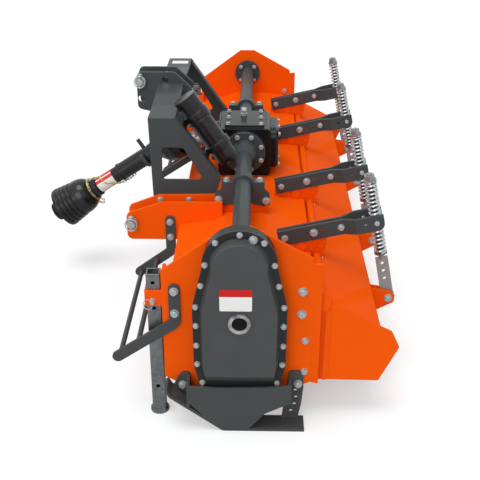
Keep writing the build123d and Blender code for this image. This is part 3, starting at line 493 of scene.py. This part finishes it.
def galvanised_tube(name):
    """Thick zinc with a cloudy spangle."""
    coat = Finish(name)
    normal = coat.rounded(0.002)
    spangle = coat.node("ShaderNodeTexVoronoi", None, {"Vector": coat.place, "Scale": 95.0}, out="Color")
    grey = coat.node("ShaderNodeSeparateColor", None, {0: spangle}, out=0)
    cloud = coat.noise(14.0, 4.0)
    return coat.surface(**{
        "Base Color": coat.mix(coat.within(grey * 0.5 + cloud * 0.5), GALV_DARK, GALV_LIGHT),
        "Metallic": 0.9,
        "Roughness": 0.36 + grey * 0.14 + (cloud - 0.5) * 0.12,
        "Normal": coat.bump(coat.noise(60.0, 3.0), 0.06, 0.0006, normal)})


dress(galvanised_tube("hot-dip galvanised"), "parking_leg_left", "parking_leg_right")

STEEL = (0.36, 0.355, 0.35, 1)
STEEL_OILED = (0.17, 0.165, 0.16, 1)
dress(plated("turned steel", STEEL, STEEL_OILED, roughness=0.36, grain=36.0), "input_shaft", "pto_yoke")

SCALE_DARK = (0.045, 0.043, 0.042, 1)
SCALE_WORN = (0.26, 0.25, 0.24, 1)


def forged_steel(name):
    """Dark mill scale, worn off the edges and in patches."""
    forging = Finish(name)
    normal = forging.rounded(0.003)
    scale = forging.noise(90.0, 6.0)
    worn = forging.within(forging.near_edge(normal) * 0.9 + (scale - 0.62) * 4)
    return forging.surface(**{
        "Base Color": forging.mix(worn, SCALE_DARK, SCALE_WORN),
        "Metallic": 0.4 + worn * 0.5,
        "Roughness": 0.58 - worn * 0.2,
        "Normal": forging.bump(scale, 0.3, 0.001, normal)})


dress(forged_steel("forged spring steel"), "rotor_tines")

CHROME = (0.80, 0.80, 0.80, 1)
# near black, painted on the chrome in broad patches as dark reflections
CHROME_DARK_REFLECTION = (0.14, 0.14, 0.145, 1)
bright_chrome = plated("bright chrome", CHROME, CHROME_DARK_REFLECTION, roughness=0.12, grain=34.0)
dress(bright_chrome, "sight_glass")

# ---- bolts of the gear case --------------------------------------------------------------
# Seventeen flanged bolts clamp the cover to the gear case all round its edge, and the oil's filler plug sits
# among them near the top.
COVER_FLANGE = 0.006
CASE_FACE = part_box("gear_case")[1].y + COVER_FLANGE
TOP_BOLT = (0, 655)
RIM_BOLTS = ((67, 631), (97, 562), (110, 496), (126, 427), (126, 364), (126, 297), (125, 232), (111, 166))
FILLER = ((-37, 641),)
rim = [TOP_BOLT] + [(hand * x, z) for x, z in RIM_BOLTS for hand in (1, -1)]
bolts("case_bolts", spots(rim, CASE_FACE), (0, 1, 0), flats=0.013)
bolts("filler_plug", spots(FILLER, CASE_FACE), (0, 1, 0), flats=0.018)

# ---- level glass -------------------------------------------------------------------------
# A dark domed lens sits in the chromed ring in the middle of the cover, with oil behind it. The ring is
# turned, with a rounded rim.
GLASS = middle("sight_glass")
GLASS.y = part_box("sight_glass")[0].y
LENS_PROFILE = ((0.0, 0.0064), (0.009, 0.0061), (0.016, 0.0050), (0.0205, 0.0034), (0.0217, 0.0031))
OIL_DARK = (0.005, 0.005, 0.005, 1)
OIL_AMBER = (0.009, 0.007, 0.005, 1)


def lathe(shape, profile, place, direction, steps=32):
    """Turn a profile of (radius, height) pairs about an axis through a place."""
    turn = towards(place, direction)
    dots = [shape.verts.new(turn @ Vector((radius, 0, height))) for radius, height in profile]
    lines = [shape.edges.new(pair) for pair in zip(dots, dots[1:])]
    bmesh.ops.spin(shape, geom=dots + lines, cent=place, axis=Vector(direction).normalized(), angle=tau,
                   steps=steps, use_merge=True)
    bmesh.ops.remove_doubles(shape, verts=shape.verts[:], dist=1e-6)
    bmesh.ops.recalc_face_normals(shape, faces=shape.faces[:])


def oily_glass(name):
    """A dark glass, stained by the oil behind it."""
    lens = Finish(name)
    stain = lens.noise(55.0, 4.0)
    return lens.surface(**{
        "Base Color": lens.mix(lens.within((stain - 0.35) * 2), OIL_DARK, OIL_AMBER),
        "Roughness": 0.10 + stain * 0.08,
        "Specular IOR Level": 0.08, "Coat Weight": 0.06, "Coat Roughness": 0.03})


lens = bmesh.new()
lathe(lens, LENS_PROFILE, GLASS, (0, 1, 0))
piece("level_lens", lens, "frame", oily_glass("oil behind glass"))
RING_PROFILE = ((0.0216, 0.0030), (0.0222, 0.0058), (0.0240, 0.0068), (0.0262, 0.0066), (0.0300, 0.0048),
                (0.0318, 0.0020), (0.0322, 0.0004))
ring = bmesh.new()
lathe(ring, RING_PROFILE, GLASS, (0, 1, 0), steps=40)
piece("level_ring", ring, "frame", bright_chrome)

# ---- coil springs ------------------------------------------------------------------------
# Each rod carries two springs of stout bright wire with closed, ground ends, one over its trunnion and one
# under it. The lower one is squeezed as the tailgate lifts.
joints = {joint["name"]: joint for joint in frame["joints"]}
TRUNNION = Vector(joints["trunnion_swivel"]["pos_m"])
ROD = Vector(joints["rod_slide"]["axis"]).normalized()
BLOCK_HALF = 0.014
PITCH = 0.013
WIRE = 0.0078
SPRING_R = 0.0205
UPPER_TURNS = 9
LOWER_TURNS = 8
TURN_STEPS = 20
END_TURNS = 0.8                 # wound close at each end
END_LAY = 0.95                  # of the wire, from one close turn to the next
END_SINK = 0.25                 # of the wire, ground off each end


def coil(shape, y, low, long, turns):
    """A spring wound about a rod from a height, its end turns close and its ends cut flat."""
    winding_r = SPRING_R - WIRE / 2
    base = TRUNNION + Vector((0, y, 0))
    foot = base + ROD * (low + WIRE * END_SINK)
    wound = bmesh.new()
    start = towards(foot + Vector((0, winding_r, 0)), Vector((0, 1, 0)).cross(ROD))
    wire = bmesh.ops.create_circle(wound, segments=8, radius=WIRE / 2, matrix=start)
    last = wire["verts"] + wound.edges[:]
    close = WIRE * END_LAY
    even = (long - 2 * WIRE * END_SINK - 2 * END_TURNS * close) / (turns - 2 * END_TURNS)
    risen = 0.0
    for share, rise in ((END_TURNS, close), (turns - 2 * END_TURNS, even), (END_TURNS, close)):
        steps = round(share * TURN_STEPS)
        spun = bmesh.ops.spin(wound, geom=last, cent=foot + ROD * risen, axis=ROD, angle=tau * share,
                              steps=steps, dvec=ROD * (rise * share / steps))
        last = spun["geom_last"]
        risen += rise * share
    bmesh.ops.holes_fill(wound, edges=[edge for edge in wound.edges if edge.is_boundary])
    for height, hand in ((low, -1), (low + long, 1)):
        cut = bmesh.ops.bisect_plane(wound, geom=wound.verts[:] + wound.edges[:] + wound.faces[:],
                                     plane_co=base + ROD * height, plane_no=ROD * hand, clear_outer=True)
        rims = [item for item in cut["geom_cut"] if isinstance(item, bmesh.types.BMEdge)]
        bmesh.ops.holes_fill(wound, edges=rims)
    bmesh.ops.recalc_face_normals(wound, faces=wound.faces[:])
    one = bpy.data.meshes.new("one spring")
    wound.to_mesh(one)
    wound.free()
    shape.from_mesh(one)
    bpy.data.meshes.remove(one)


upper_long = UPPER_TURNS * PITCH
lower_long = LOWER_TURNS * PITCH
upper = bmesh.new()
lower = bmesh.new()
for row in ROWS:
    coil(upper, row, BLOCK_HALF, upper_long, UPPER_TURNS)
    coil(lower, row, -BLOCK_HALF - lower_long, lower_long, LOWER_TURNS)
upper_coils = piece("upper_coils", upper, "trunnions", spring_zinc)
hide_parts("upper_springs")
lower_coils = piece("lower_coils", lower, "trunnions", spring_zinc)
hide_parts("lower_springs")
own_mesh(lower_coils)

# ---- bolts and pins of the tailgate's arms -----------------------------------------------
# Three bolts clamp each pair of bars to its lug, a pin holds the trunnion in the fork, and another holds the
# rod's eye between two ears on the tailgate. The lug's own four bolts are painted over with it.
ARM_OUT = 0.014                 # these are outer faces, from the middle of the row
FORK_OUT = 0.036
EAR_OUT = 0.014
LUG_OUT = 0.006
ARM_BOLTS = ((-136, 479.6), (-312, 519.7))
ARM_MIDDLE = ((-227, 500.3),)
TRUNNION_PIN = (((TRUNNION.x - ROTOR_X) * 1000, TRUNNION.z * 1000),)
ROD_EYE = ((-478, 266),)
LUG_BOLTS = ((-219, 441), (-250, 451), (-261, 467), (-231, 472))


def in_rows(table, out):
    """A place in every row for each pair of a table, at a distance from the row's middle."""
    return [spot for row in ROWS for spot in spots(table, row + out)]


for hand, side in ((1, "drive"), (-1, "far")):
    outward = (0, hand, 0)
    bolts(f"arm_bolts_{side}", in_rows(ARM_BOLTS, hand * ARM_OUT), outward, flats=0.016)
    bolts(f"arm_middle_bolts_{side}", in_rows(ARM_MIDDLE, hand * ARM_OUT), outward, flats=0.019)
    bolts(f"trunnion_pins_{side}", in_rows(TRUNNION_PIN, hand * FORK_OUT), outward, flats=0.013, washer=False)
    bolts(f"eye_bolts_{side}", in_rows(ROD_EYE, hand * EAR_OUT), outward, flats=0.020, body="tailgate")
    bolts(f"lug_bolts_{side}", in_rows(LUG_BOLTS, hand * LUG_OUT), outward, flats=0.011, washer=False,
          material=orange)

# ---- bolts of the frame ------------------------------------------------------------------
# The clevis plates, the headstock's feet, the front guards, the saddles and the skids are all bolted on. The
# cross tubes are bolted through round flanges, to the side plates' inner faces and to the gearbox.
SHAFT_Z = middle("axle_tube_left").z
HEAD_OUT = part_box("headstock_plate_left")[1].y + PLATE
CLEVIS_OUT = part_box("hitch_plates_left")[1].y
GUARD_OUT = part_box("front_guard_left")[1].y
STRAP = 0.008                   # the guards' and skids' own plates
SADDLE_MID = 0.432
SADDLE_OUT = 0.452
END_FLANGE_IN = 0.970
END_FLANGE_BOLTS = (46, 4, 45)  # radius in millimetres, count, and angle of the first
HUB_FACE = 0.138                # the tube's side of its flange on the gearbox
BOX_FLANGE_IN = HUB_FACE + 0.006
BOX_FLANGE_BOLTS = (68, 8, 22.5)
CLEVIS_BOLTS = ((290, 474), (189, 474))
GUARD_OUTER_BOLTS = ((190, 453), (190, 380))
GUARD_INNER_BOLTS = ((251, 423), (251, 366))
SADDLE_SIDE_BOLTS = ((84, 496), (-80, 492))
SADDLE_TOP_BOLTS = ((57, 559), (-57, 559))
SKID_BOLTS = ((174, 127), (-176, 135))


def flange_bolts(radius, count, first):
    """Pairs of millimetres for bolts evenly round the cross shaft, the first at an angle in degrees."""
    turns = [radians(first + 360 / count * n) for n in range(count)]
    return [(radius * cos(turn), SHAFT_Z * 1000 + radius * sin(turn)) for turn in turns]


for hand, side in SIDES:
    outward = (0, hand, 0)
    bolts(f"clevis_bolts_{side}", spots(CLEVIS_BOLTS, hand * HEAD_OUT), outward, flats=0.017)
    bolts(f"guard_outer_bolts_{side}", spots(GUARD_OUTER_BOLTS, hand * GUARD_OUT), outward, flats=0.019)
    bolts(f"guard_inner_bolts_{side}", spots(GUARD_INNER_BOLTS, hand * (CLEVIS_OUT + STRAP)), outward,
          flats=0.018)
    bolts(f"saddle_side_bolts_{side}", spots(SADDLE_SIDE_BOLTS, hand * SADDLE_OUT), outward, flats=0.020)
    bolts(f"saddle_top_bolts_{side}", spots(SADDLE_TOP_BOLTS, hand * SADDLE_MID), (0, 0, 1), flats=0.017)
    bolts(f"skid_bolts_{side}", spots(SKID_BOLTS, hand * (HALF + STRAP)), outward, flats=0.019)
    bolts(f"end_flange_bolts_{side}", spots(flange_bolts(*END_FLANGE_BOLTS), hand * END_FLANGE_IN),
          (0, -hand, 0), flats=0.014)
    bolts(f"box_flange_bolts_{side}", spots(flange_bolts(*BOX_FLANGE_BOLTS), hand * BOX_FLANGE_IN),
          outward, flats=0.014)

# ---- hubs --------------------------------------------------------------------------------
# A short cast cone carries each cross tube out of its gearbox flange. It is painted charcoal, as the tube is,
# and the flange's bolts stand round its foot.
HUB_PROFILE = ((0, 0), (0.0515, 0), (0.0500, 0.005), (0.0420, 0.020), (0.0345, 0.034), (0.0300, 0.043),
               (0.0292, 0.045), (0, 0.045))
for hand, side in SIDES:
    hub = bmesh.new()
    lathe(hub, HUB_PROFILE, Vector((ROTOR_X, hand * HUB_FACE, SHAFT_Z)), (0, hand, 0), steps=36)
    piece(f"tube_hub_{side}", hub, "frame", charcoal)

# ---- hitch pins --------------------------------------------------------------------------
# Each hitch pin ends in a collar that a spring-ringed linch pin goes through. The stands have smaller pins
# with a split ring, seated against the sleeve.
COLLAR_LONG = 0.015
COLLAR_CHAMFER = 0.002
LOWER_COLLAR_R = 0.0136
TOP_COLLAR_R = 0.0124
LINCH_R = 0.0052
LINCH_HEAD_R = LINCH_R * 1.7
LINCH_LONG = 0.046              # under its head
LINCH_HEAD = 0.007
LINCH_PROFILE = ((0, 0), (LINCH_R * 0.6, 0.0005), (LINCH_R, 0.004), (LINCH_R, LINCH_LONG),
                 (LINCH_HEAD_R, LINCH_LONG), (LINCH_HEAD_R, LINCH_LONG + LINCH_HEAD),
                 (LINCH_R, LINCH_LONG + LINCH_HEAD + 0.002), (0, LINCH_LONG + LINCH_HEAD + 0.002))
LINCH_AT = 0.45                 # of the collar, out from its face
RING_R = 0.021
RING_WIRE = 0.0034
RING_OUT = 0.004                # past the collar's end, and as far above its middle
RING_TILT = (0.1, 0.12)         # its axis, forward and up for each one across


def hoop(shape, place, direction, radius, wire):
    """A ring of round wire about an axis."""
    way = Vector(direction).normalized()
    start = towards(place, way) @ Matrix.Translation((radius, 0, 0)) @ Matrix.Rotation(pi / 2, 4, "X")
    loop = bmesh.ops.create_circle(shape, segments=8, radius=wire / 2, matrix=start)
    rim = list({edge for vert in loop["verts"] for edge in vert.link_edges})
    bmesh.ops.spin(shape, geom=loop["verts"] + rim, cent=place, axis=way, angle=tau, steps=28, use_merge=True)


def linch(shape, place, hand, radius):
    """A hitch pin's collar, the linch pin through it and its ring, outside a face at a place."""
    out = Vector((0, hand, 0))
    collar = ((0, 0), (radius, 0), (radius, COLLAR_LONG - COLLAR_CHAMFER),
              (radius - COLLAR_CHAMFER, COLLAR_LONG), (0, COLLAR_LONG))
    lathe(shape, collar, place, out, steps=24)
    foot = place + out * COLLAR_LONG * LINCH_AT - Vector((0, 0, LINCH_LONG / 2))
    lathe(shape, LINCH_PROFILE, foot, (0, 0, 1), steps=14)
    hoop(shape, place + out * (COLLAR_LONG + RING_OUT) + Vector((0, 0, RING_OUT)),
         (RING_TILT[0], hand, RING_TILT[1]), RING_R, RING_WIRE)


LOWER_PIN = middle("lower_hitch_pins")
LOWER_PIN_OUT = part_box("lower_hitch_pins")[1].y
TOP_PIN = middle("top_hitch_pin")
TOP_PIN.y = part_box("top_hitch_pin")[1].y
linches = bmesh.new()
for hand in (1, -1):
    linch(linches, Vector((LOWER_PIN.x, hand * LOWER_PIN_OUT, LOWER_PIN.z)), hand, LOWER_COLLAR_R)
linch(linches, TOP_PIN, 1, TOP_COLLAR_R)
piece("linch_pins", linches, "frame", zinc)

SLEEVE = middle("stand_sleeve_left")
SLEEVE_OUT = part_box("stand_sleeve_left")[1].y
STAND_PIN_PROFILE = ((0, 0), (0.0095, 0), (0.0095, 0.003), (0.0075, 0.0035), (0.0075, 0.014),
                     (0.0062, 0.0165), (0, 0.0172))
STAND_PIN_FORWARD = 0.002       # from the sleeve's middle
STAND_PIN_UP = -0.008
SPLIT_RING_AT = (0.013, 0.011, -0.007)      # from the pin's foot
SPLIT_RING_TILT = (0.25, 0.35)
SPLIT_RING_R = 0.0145
SPLIT_RING_WIRE = 0.0022
stand_pins = bmesh.new()
for hand in (1, -1):
    seat = Vector((SLEEVE.x + STAND_PIN_FORWARD, hand * SLEEVE_OUT, SLEEVE.z + STAND_PIN_UP))
    lathe(stand_pins, STAND_PIN_PROFILE, seat, (0, hand, 0), steps=20)
    forward, out, up = SPLIT_RING_AT
    hoop(stand_pins, seat + Vector((forward, hand * out, up)), (SPLIT_RING_TILT[0], hand, SPLIT_RING_TILT[1]),
         SPLIT_RING_R, SPLIT_RING_WIRE)
piece("stand_pins", stand_pins, "frame", zinc)

# ---- blank labels ------------------------------------------------------------------------
# A thin white label with a plain red band across its top is stuck to the cover over the level glass, and a
# small white one to the far side of the headstock's bridge.
LABEL_WHITE = (0.82, 0.82, 0.80, 1)
LABEL_GRIME = (0.66, 0.65, 0.62, 1)
LABEL_RED = (0.62, 0.012, 0.010, 1)
LABEL_CORNER = 0.004
LABEL_THICK = 0.0006
CASE_LABEL = (0.091, 0.068)     # width and height
CASE_LABEL_AT = (10.5, 467)     # middle, in millimetres forward of the rotor and above the ground
BAND_FROM = 0.479               # height of the red band's lower edge
BRIDGE_LABEL = (0.066, 0.042)
BRIDGE_LABEL_AT = (272, 768)
BRIDGE_LABEL_Y = -0.332


def printed_vinyl(name, band):
    """White vinyl with a little grime, and a red band if it has one."""
    vinyl = Finish(name)
    grime = vinyl.noise(70.0, 5.0)
    tone = vinyl.mix(vinyl.within((grime - 0.55) * 0.7), LABEL_WHITE, LABEL_GRIME)
    if band:
        tone = vinyl.mix(vinyl.axis("Z") > BAND_FROM, tone, LABEL_RED)
    return vinyl.surface(**{
        "Base Color": tone, "Specular IOR Level": 0.2, "Roughness": 0.32 + (grime - 0.5) * 0.15})


def label(name, size, place, turn, out, vinyl):
    """A thin plate with rounded corners, stuck on a face."""
    shape = bmesh.new()
    bmesh.ops.create_grid(shape, x_segments=1, y_segments=1, size=0.5,
                          matrix=Matrix.LocRotScale(place, turn, Vector((*size, 1))))
    bmesh.ops.bevel(shape, geom=shape.verts[:], offset=LABEL_CORNER, segments=4, profile=0.5,
                    affect="VERTICES", material=-1)
    grown = bmesh.ops.extrude_face_region(shape, geom=shape.faces[:])
    bmesh.ops.translate(shape, verts=moved(grown), vec=Vector(out) * LABEL_THICK)
    bmesh.ops.recalc_face_normals(shape, faces=shape.faces[:])
    piece(name, shape, "frame", vinyl)


white_vinyl = printed_vinyl("white vinyl", band=False)
banded_vinyl = printed_vinyl("label with red band", band=True)
label("case_label", CASE_LABEL, at(*CASE_LABEL_AT, cover_face), Matrix.Rotation(-pi / 2, 3, "X"), (0, 1, 0),
      banded_vinyl)
label("bridge_label", BRIDGE_LABEL, at(*BRIDGE_LABEL_AT, BRIDGE_LABEL_Y), Matrix.Identity(3), (0, 0, 1),
      white_vinyl)

# ---- drive shaft's label and chain -------------------------------------------------------
# A blank red and white label wraps the outer guard. A light chain, yellow from its passivation, is looped
# round the bell's neck, crosses the guard's side and ends under it, and its hook hangs below the neck.
SHAFT = Vector(joints["drive_shaft_slide"]["axis"]).normalized()
JOINT = Vector(joints["drive_shaft_lift"]["pos_m"])
SHAFT_UP = SHAFT.cross(Vector((0, 1, 0))).normalized()
if SHAFT_UP.z < 0:
    SHAFT_UP.negate()
WRAP_R = 0.0318
WRAP_THICK = 0.0004
WRAP_FROM = 0.277               # distances along the shaft from its inner joint
WRAP_TO = 0.352
WRAP_ANGLE = 150
WRAP_STEPS = 30
WRAP_RED = ((0, 6), (8, 13), (28, 30))     # steps of the wrap that are red
RED_WORN = (0.70, 0.02, 0.015, 1)


def on_shaft(along, up=0.0, across=0.0):
    """A place along the drive shaft from its inner joint, and off its axis."""
    return JOINT + SHAFT * along + SHAFT_UP * up + Vector((0, across, 0))


wrap = bmesh.new()
start = [wrap.verts.new(on_shaft(along, WRAP_R)) for along in (WRAP_FROM, WRAP_TO)]
line = wrap.edges.new(start)
near_side = -1 if SHAFT.cross(SHAFT_UP).y > 0 else 1
bmesh.ops.spin(wrap, geom=start + [line], cent=JOINT, axis=SHAFT, angle=-near_side * radians(WRAP_ANGLE),
               steps=WRAP_STEPS)
wrap.faces.ensure_lookup_table()
for step, face in enumerate(wrap.faces):
    face.material_index = int(any(low <= step < high for low, high in WRAP_RED))
bmesh.ops.recalc_face_normals(wrap, faces=wrap.faces[:])
bmesh.ops.solidify(wrap, geom=wrap.faces[:], thickness=WRAP_THICK)
bmesh.ops.recalc_face_normals(wrap, faces=wrap.faces[:])
shaft_label = piece("shaft_label", wrap, "pto_outer", white_vinyl)
red_vinyl = Finish("red vinyl")
shaft_label.data.materials.append(red_vinyl.surface(**{
    "Base Color": red_vinyl.mix(red_vinyl.noise(60.0, 3.0), LABEL_RED, RED_WORN),
    "Roughness": 0.3 + red_vinyl.noise(70.0, 5.0) * 0.1}))

GOLD = (0.80, 0.68, 0.33, 1)
GOLD_DULL = (0.42, 0.34, 0.15, 1)
gold_chain = plated("yellow zinc", GOLD, GOLD_DULL, roughness=0.28, grain=300.0)
LINK_WIRE = 0.0026
LINK_HALF = 0.0040              # middle of a link's wire, across
LINK_REACH = 0.9                # of the wire, past the middle of the next link's end
LINK_PITCH = 0.0118
NECK_AT = 0.3835
NECK_R = 0.0452
NECK_LINKS = 25
# the strand and the hook, as distances along the shaft, up from it and across
STRAND = ((0.381, 0.0445, 0.012), (0.350, 0.040, 0.010), (0.326, 0.032, 0.016), (0.316, 0.004, 0.0355),
          (0.290, -0.018, 0.0315), (0.258, -0.036, 0.016), (0.225, -0.041, 0.002), (0.196, -0.038, -0.006))
HOOK = ((0.386, -0.040, 0.024), (0.388, -0.057, 0.022), (0.380, -0.067, 0.016), (0.370, -0.057, 0.013),
        (0.377, -0.044, 0.020))


def links(shape, path):
    """Chain links along a line of places, every other one turned on edge."""
    for n, (here, there) in enumerate(zip(path, path[1:])):
        along = there - here
        turn = towards((here + there) / 2, along) @ Matrix.Rotation(pi / 2 * (n % 2) + pi / 4, 4, "Z")
        loop = bmesh.ops.create_circle(shape, segments=5, radius=LINK_WIRE / 2,
                                       matrix=Matrix.Translation((LINK_HALF, 0, 0)))
        rim = list({edge for vert in loop["verts"] for edge in vert.link_edges})
        bmesh.ops.spin(shape, geom=loop["verts"] + rim, cent=(0, 0, 0), axis=(0, 1, 0), angle=tau, steps=12,
                       use_merge=True)
        link = [vert for vert in shape.verts if not vert.tag]
        stretch = (along.length / 2 + LINK_WIRE * LINK_REACH) / LINK_HALF
        bmesh.ops.scale(shape, vec=(1, 1, stretch), verts=link)
        bmesh.ops.transform(shape, matrix=turn, verts=link)
        for vert in link:
            vert.tag = True


def ring_path(along, radius, count):
    """Places round the shaft."""
    turns = [tau * n / count for n in range(count + 1)]
    return [on_shaft(along, radius * cos(turn), radius * sin(turn)) for turn in turns]


def strand_path(points):
    """Places a link apart along a line of places about the shaft."""
    route = [on_shaft(*point) for point in points]
    path = [route[0]]
    left = LINK_PITCH
    for here, there in zip(route, route[1:]):
        run = (there - here).length
        while left <= run:
            path.append(here.lerp(there, left / run))
            left += LINK_PITCH
        left -= run
    return path


chain = bmesh.new()
links(chain, ring_path(NECK_AT, NECK_R, NECK_LINKS))
links(chain, strand_path(STRAND))
links(chain, strand_path(HOOK))
piece("safety_chain", chain, "pto_outer", gold_chain)

# ---- gearbox fittings --------------------------------------------------------------------
# The gearbox's lid, rear cover and input flange are bolted on, and a vented plug stands on the lid to let the
# oil breathe.
box_low, box_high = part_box("gearbox")
LID_BOLTS = ((62, 76), (62, 0), (62, -76), (-62, 76), (-62, 0), (-62, -76))
REAR_BOLTS = ((80, 60), (80, -60), (-80, 60), (-80, -60), (0, 62), (0, -62))
REAR_DROP = 0.004               # middle of the rear cover, below the shaft
NOSE_BOLTS = 6
NOSE_R = 0.060
BREATHER = ((0, 0), (0.0125, 0), (0.0125, 0.009), (0.008, 0.0105), (0.008, 0.015), (0.0115, 0.017),
            (0.0118, 0.026), (0.009, 0.030), (0, 0.031))
BREATHER_X = 4                  # in millimetres forward of the rotor
BREATHER_Y = -0.030
lid = box_high.z * 1000
nose = [radians(30 + 360 / NOSE_BOLTS * n) for n in range(NOSE_BOLTS)]
bolts("lid_bolts", [at(x, lid, y / 1000) for x, y in LID_BOLTS], (0, 0, 1), flats=0.013)
rear = [Vector((box_low.x, y / 1000, SHAFT_Z - REAR_DROP + z / 1000)) for y, z in REAR_BOLTS]
bolts("rear_cover_bolts", rear, (-1, 0, 0), flats=0.013)
bolts("nose_bolts", [Vector((box_high.x, NOSE_R * cos(turn), SHAFT_Z + NOSE_R * sin(turn))) for turn in nose],
      (1, 0, 0), flats=0.013)
breather = bmesh.new()
lathe(breather, BREATHER, at(BREATHER_X, lid, BREATHER_Y), (0, 0, 1), steps=20)
piece("breather", breather, "frame", zinc)

# ---- tine bolts --------------------------------------------------------------------------
# Two bolts hold each tine on its flange. Each flange has three tines on either face, and is turned a little
# further round than the one before.
ROTOR_Z = middle("rotor_tube").z
FLANGES = 8
FLANGE_TURN = 22                # degrees from one flange to the next
TINES = 6
BLADE_OUT = 0.066               # the end flange's middle, from the last blade's tip
BOLT_REACH = (0.070, 0.094)     # of a tine's two bolts, from the rotor's axis
FLANGE_HALF = 0.004
TINE_THICK = 0.009
END_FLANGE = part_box("rotor_tines")[1].y - BLADE_OUT
tine_bolts = bmesh.new()
for n in range(FLANGES):
    flange = -END_FLANGE + n * 2 * END_FLANGE / (FLANGES - 1)
    for k in range(TINES):
        hand = 1 if k % 2 else -1
        lead = radians(360 / TINES * k + FLANGE_TURN * n)
        for reach in BOLT_REACH:
            spot = Vector((ROTOR_X + reach * cos(lead), flange + hand * (FLANGE_HALF + TINE_THICK),
                           ROTOR_Z + reach * sin(lead)))
            bolt(tine_bolts, spot, (0, hand, 0), flats=0.016, washer=False)
piece("tine_bolts", tine_bolts, "rotor", black_iron)

# ---- camera ------------------------------------------------------------------------------
# It stands 2 m off the drive side and 1.65 m up, a little behind the rotor, looking down along the machine.
FOCAL_LENGTH = 62.25            # this and the film are in millimetres
FILM_WIDE = 36
CAMERA_BACK = 0.039
CAMERA_OUT = 3.064
CAMERA_UP = 1.6534
LOOK_DOWN = radians(26.68)
LOOK_ASIDE = radians(1.08)
eye = bpy.data.cameras.new("camera")
eye.lens = FOCAL_LENGTH
eye.sensor_width = FILM_WIDE
camera = bpy.data.objects.new("camera", eye)
bpy.context.scene.collection.objects.link(camera)
camera.location = (ROTOR_X - CAMERA_BACK, CAMERA_OUT, CAMERA_UP)
look = Vector((sin(LOOK_ASIDE) * cos(LOOK_DOWN), -cos(LOOK_ASIDE) * cos(LOOK_DOWN), -sin(LOOK_DOWN)))
camera.rotation_euler = look.to_track_quat("-Z", "Y").to_euler()
bpy.context.scene.camera = camera

# ---- floor, lamps and surroundings -------------------------------------------------------
# A pale floor that runs into a pale world, one wide soft lamp overhead and a fainter one from the drive side.
# The world is white to look at and in reflections, and sheds a fainter light.
FLOOR_SIZE = 60
FLOOR_PALE = (0.62, 0.64, 0.645, 1)
FLOOR_GLOW = 0.40               # as the camera sees it, so that it meets the world without an edge
WORLD_LIGHT = 0.58              # of its strength, as it falls on matt surfaces
WHITE = (1, 1, 1, 1)
floor_shape = bmesh.new()
bmesh.ops.create_grid(floor_shape, x_segments=1, y_segments=1, size=FLOOR_SIZE / 2)
floor_mesh = bpy.data.meshes.new("floor")
floor_shape.to_mesh(floor_mesh)
floor_shape.free()
floor = bpy.data.objects.new("floor", floor_mesh)
bpy.context.scene.collection.objects.link(floor)
studio = Finish("studio floor")
floor_mesh.materials.append(studio.surface(**{
    "Base Color": FLOOR_PALE, "Roughness": 1.0, "Specular IOR Level": 0.0, "Emission Color": WHITE,
    "Emission Strength": studio.node("ShaderNodeLightPath", out="Is Camera Ray") * FLOOR_GLOW}))


def sun(name, direction, spread, strength):
    """A soft lamp from far away, shining along a direction."""
    made = bpy.data.lights.new(name, "SUN")
    made.energy = strength
    made.angle = radians(spread)
    stand = bpy.data.objects.new(name, made)
    stand.rotation_euler = Vector(direction).to_track_quat("-Z", "Y").to_euler()
    bpy.context.scene.collection.objects.link(stand)


sun("overhead", (-0.20, -0.15, -1.0), spread=32, strength=1.30)
sun("drive side", (-0.3, -1.0, -0.55), spread=40, strength=0.98)

world = bpy.data.worlds.new("surroundings")
bpy.context.scene.world = world
around = Nodes(world)
seen = around.sum_of("MAXIMUM", around.node("ShaderNodeLightPath", out="Is Camera Ray"),
                     around.node("ShaderNodeLightPath", out="Is Glossy Ray"))
sky = around.node("ShaderNodeBackground", None,
                  {"Color": WHITE, "Strength": WORLD_LIGHT + seen * (1 - WORLD_LIGHT)})
around.node("ShaderNodeOutputWorld", None, {"Surface": sky})
bpy.context.scene.view_settings.view_transform = "Standard"
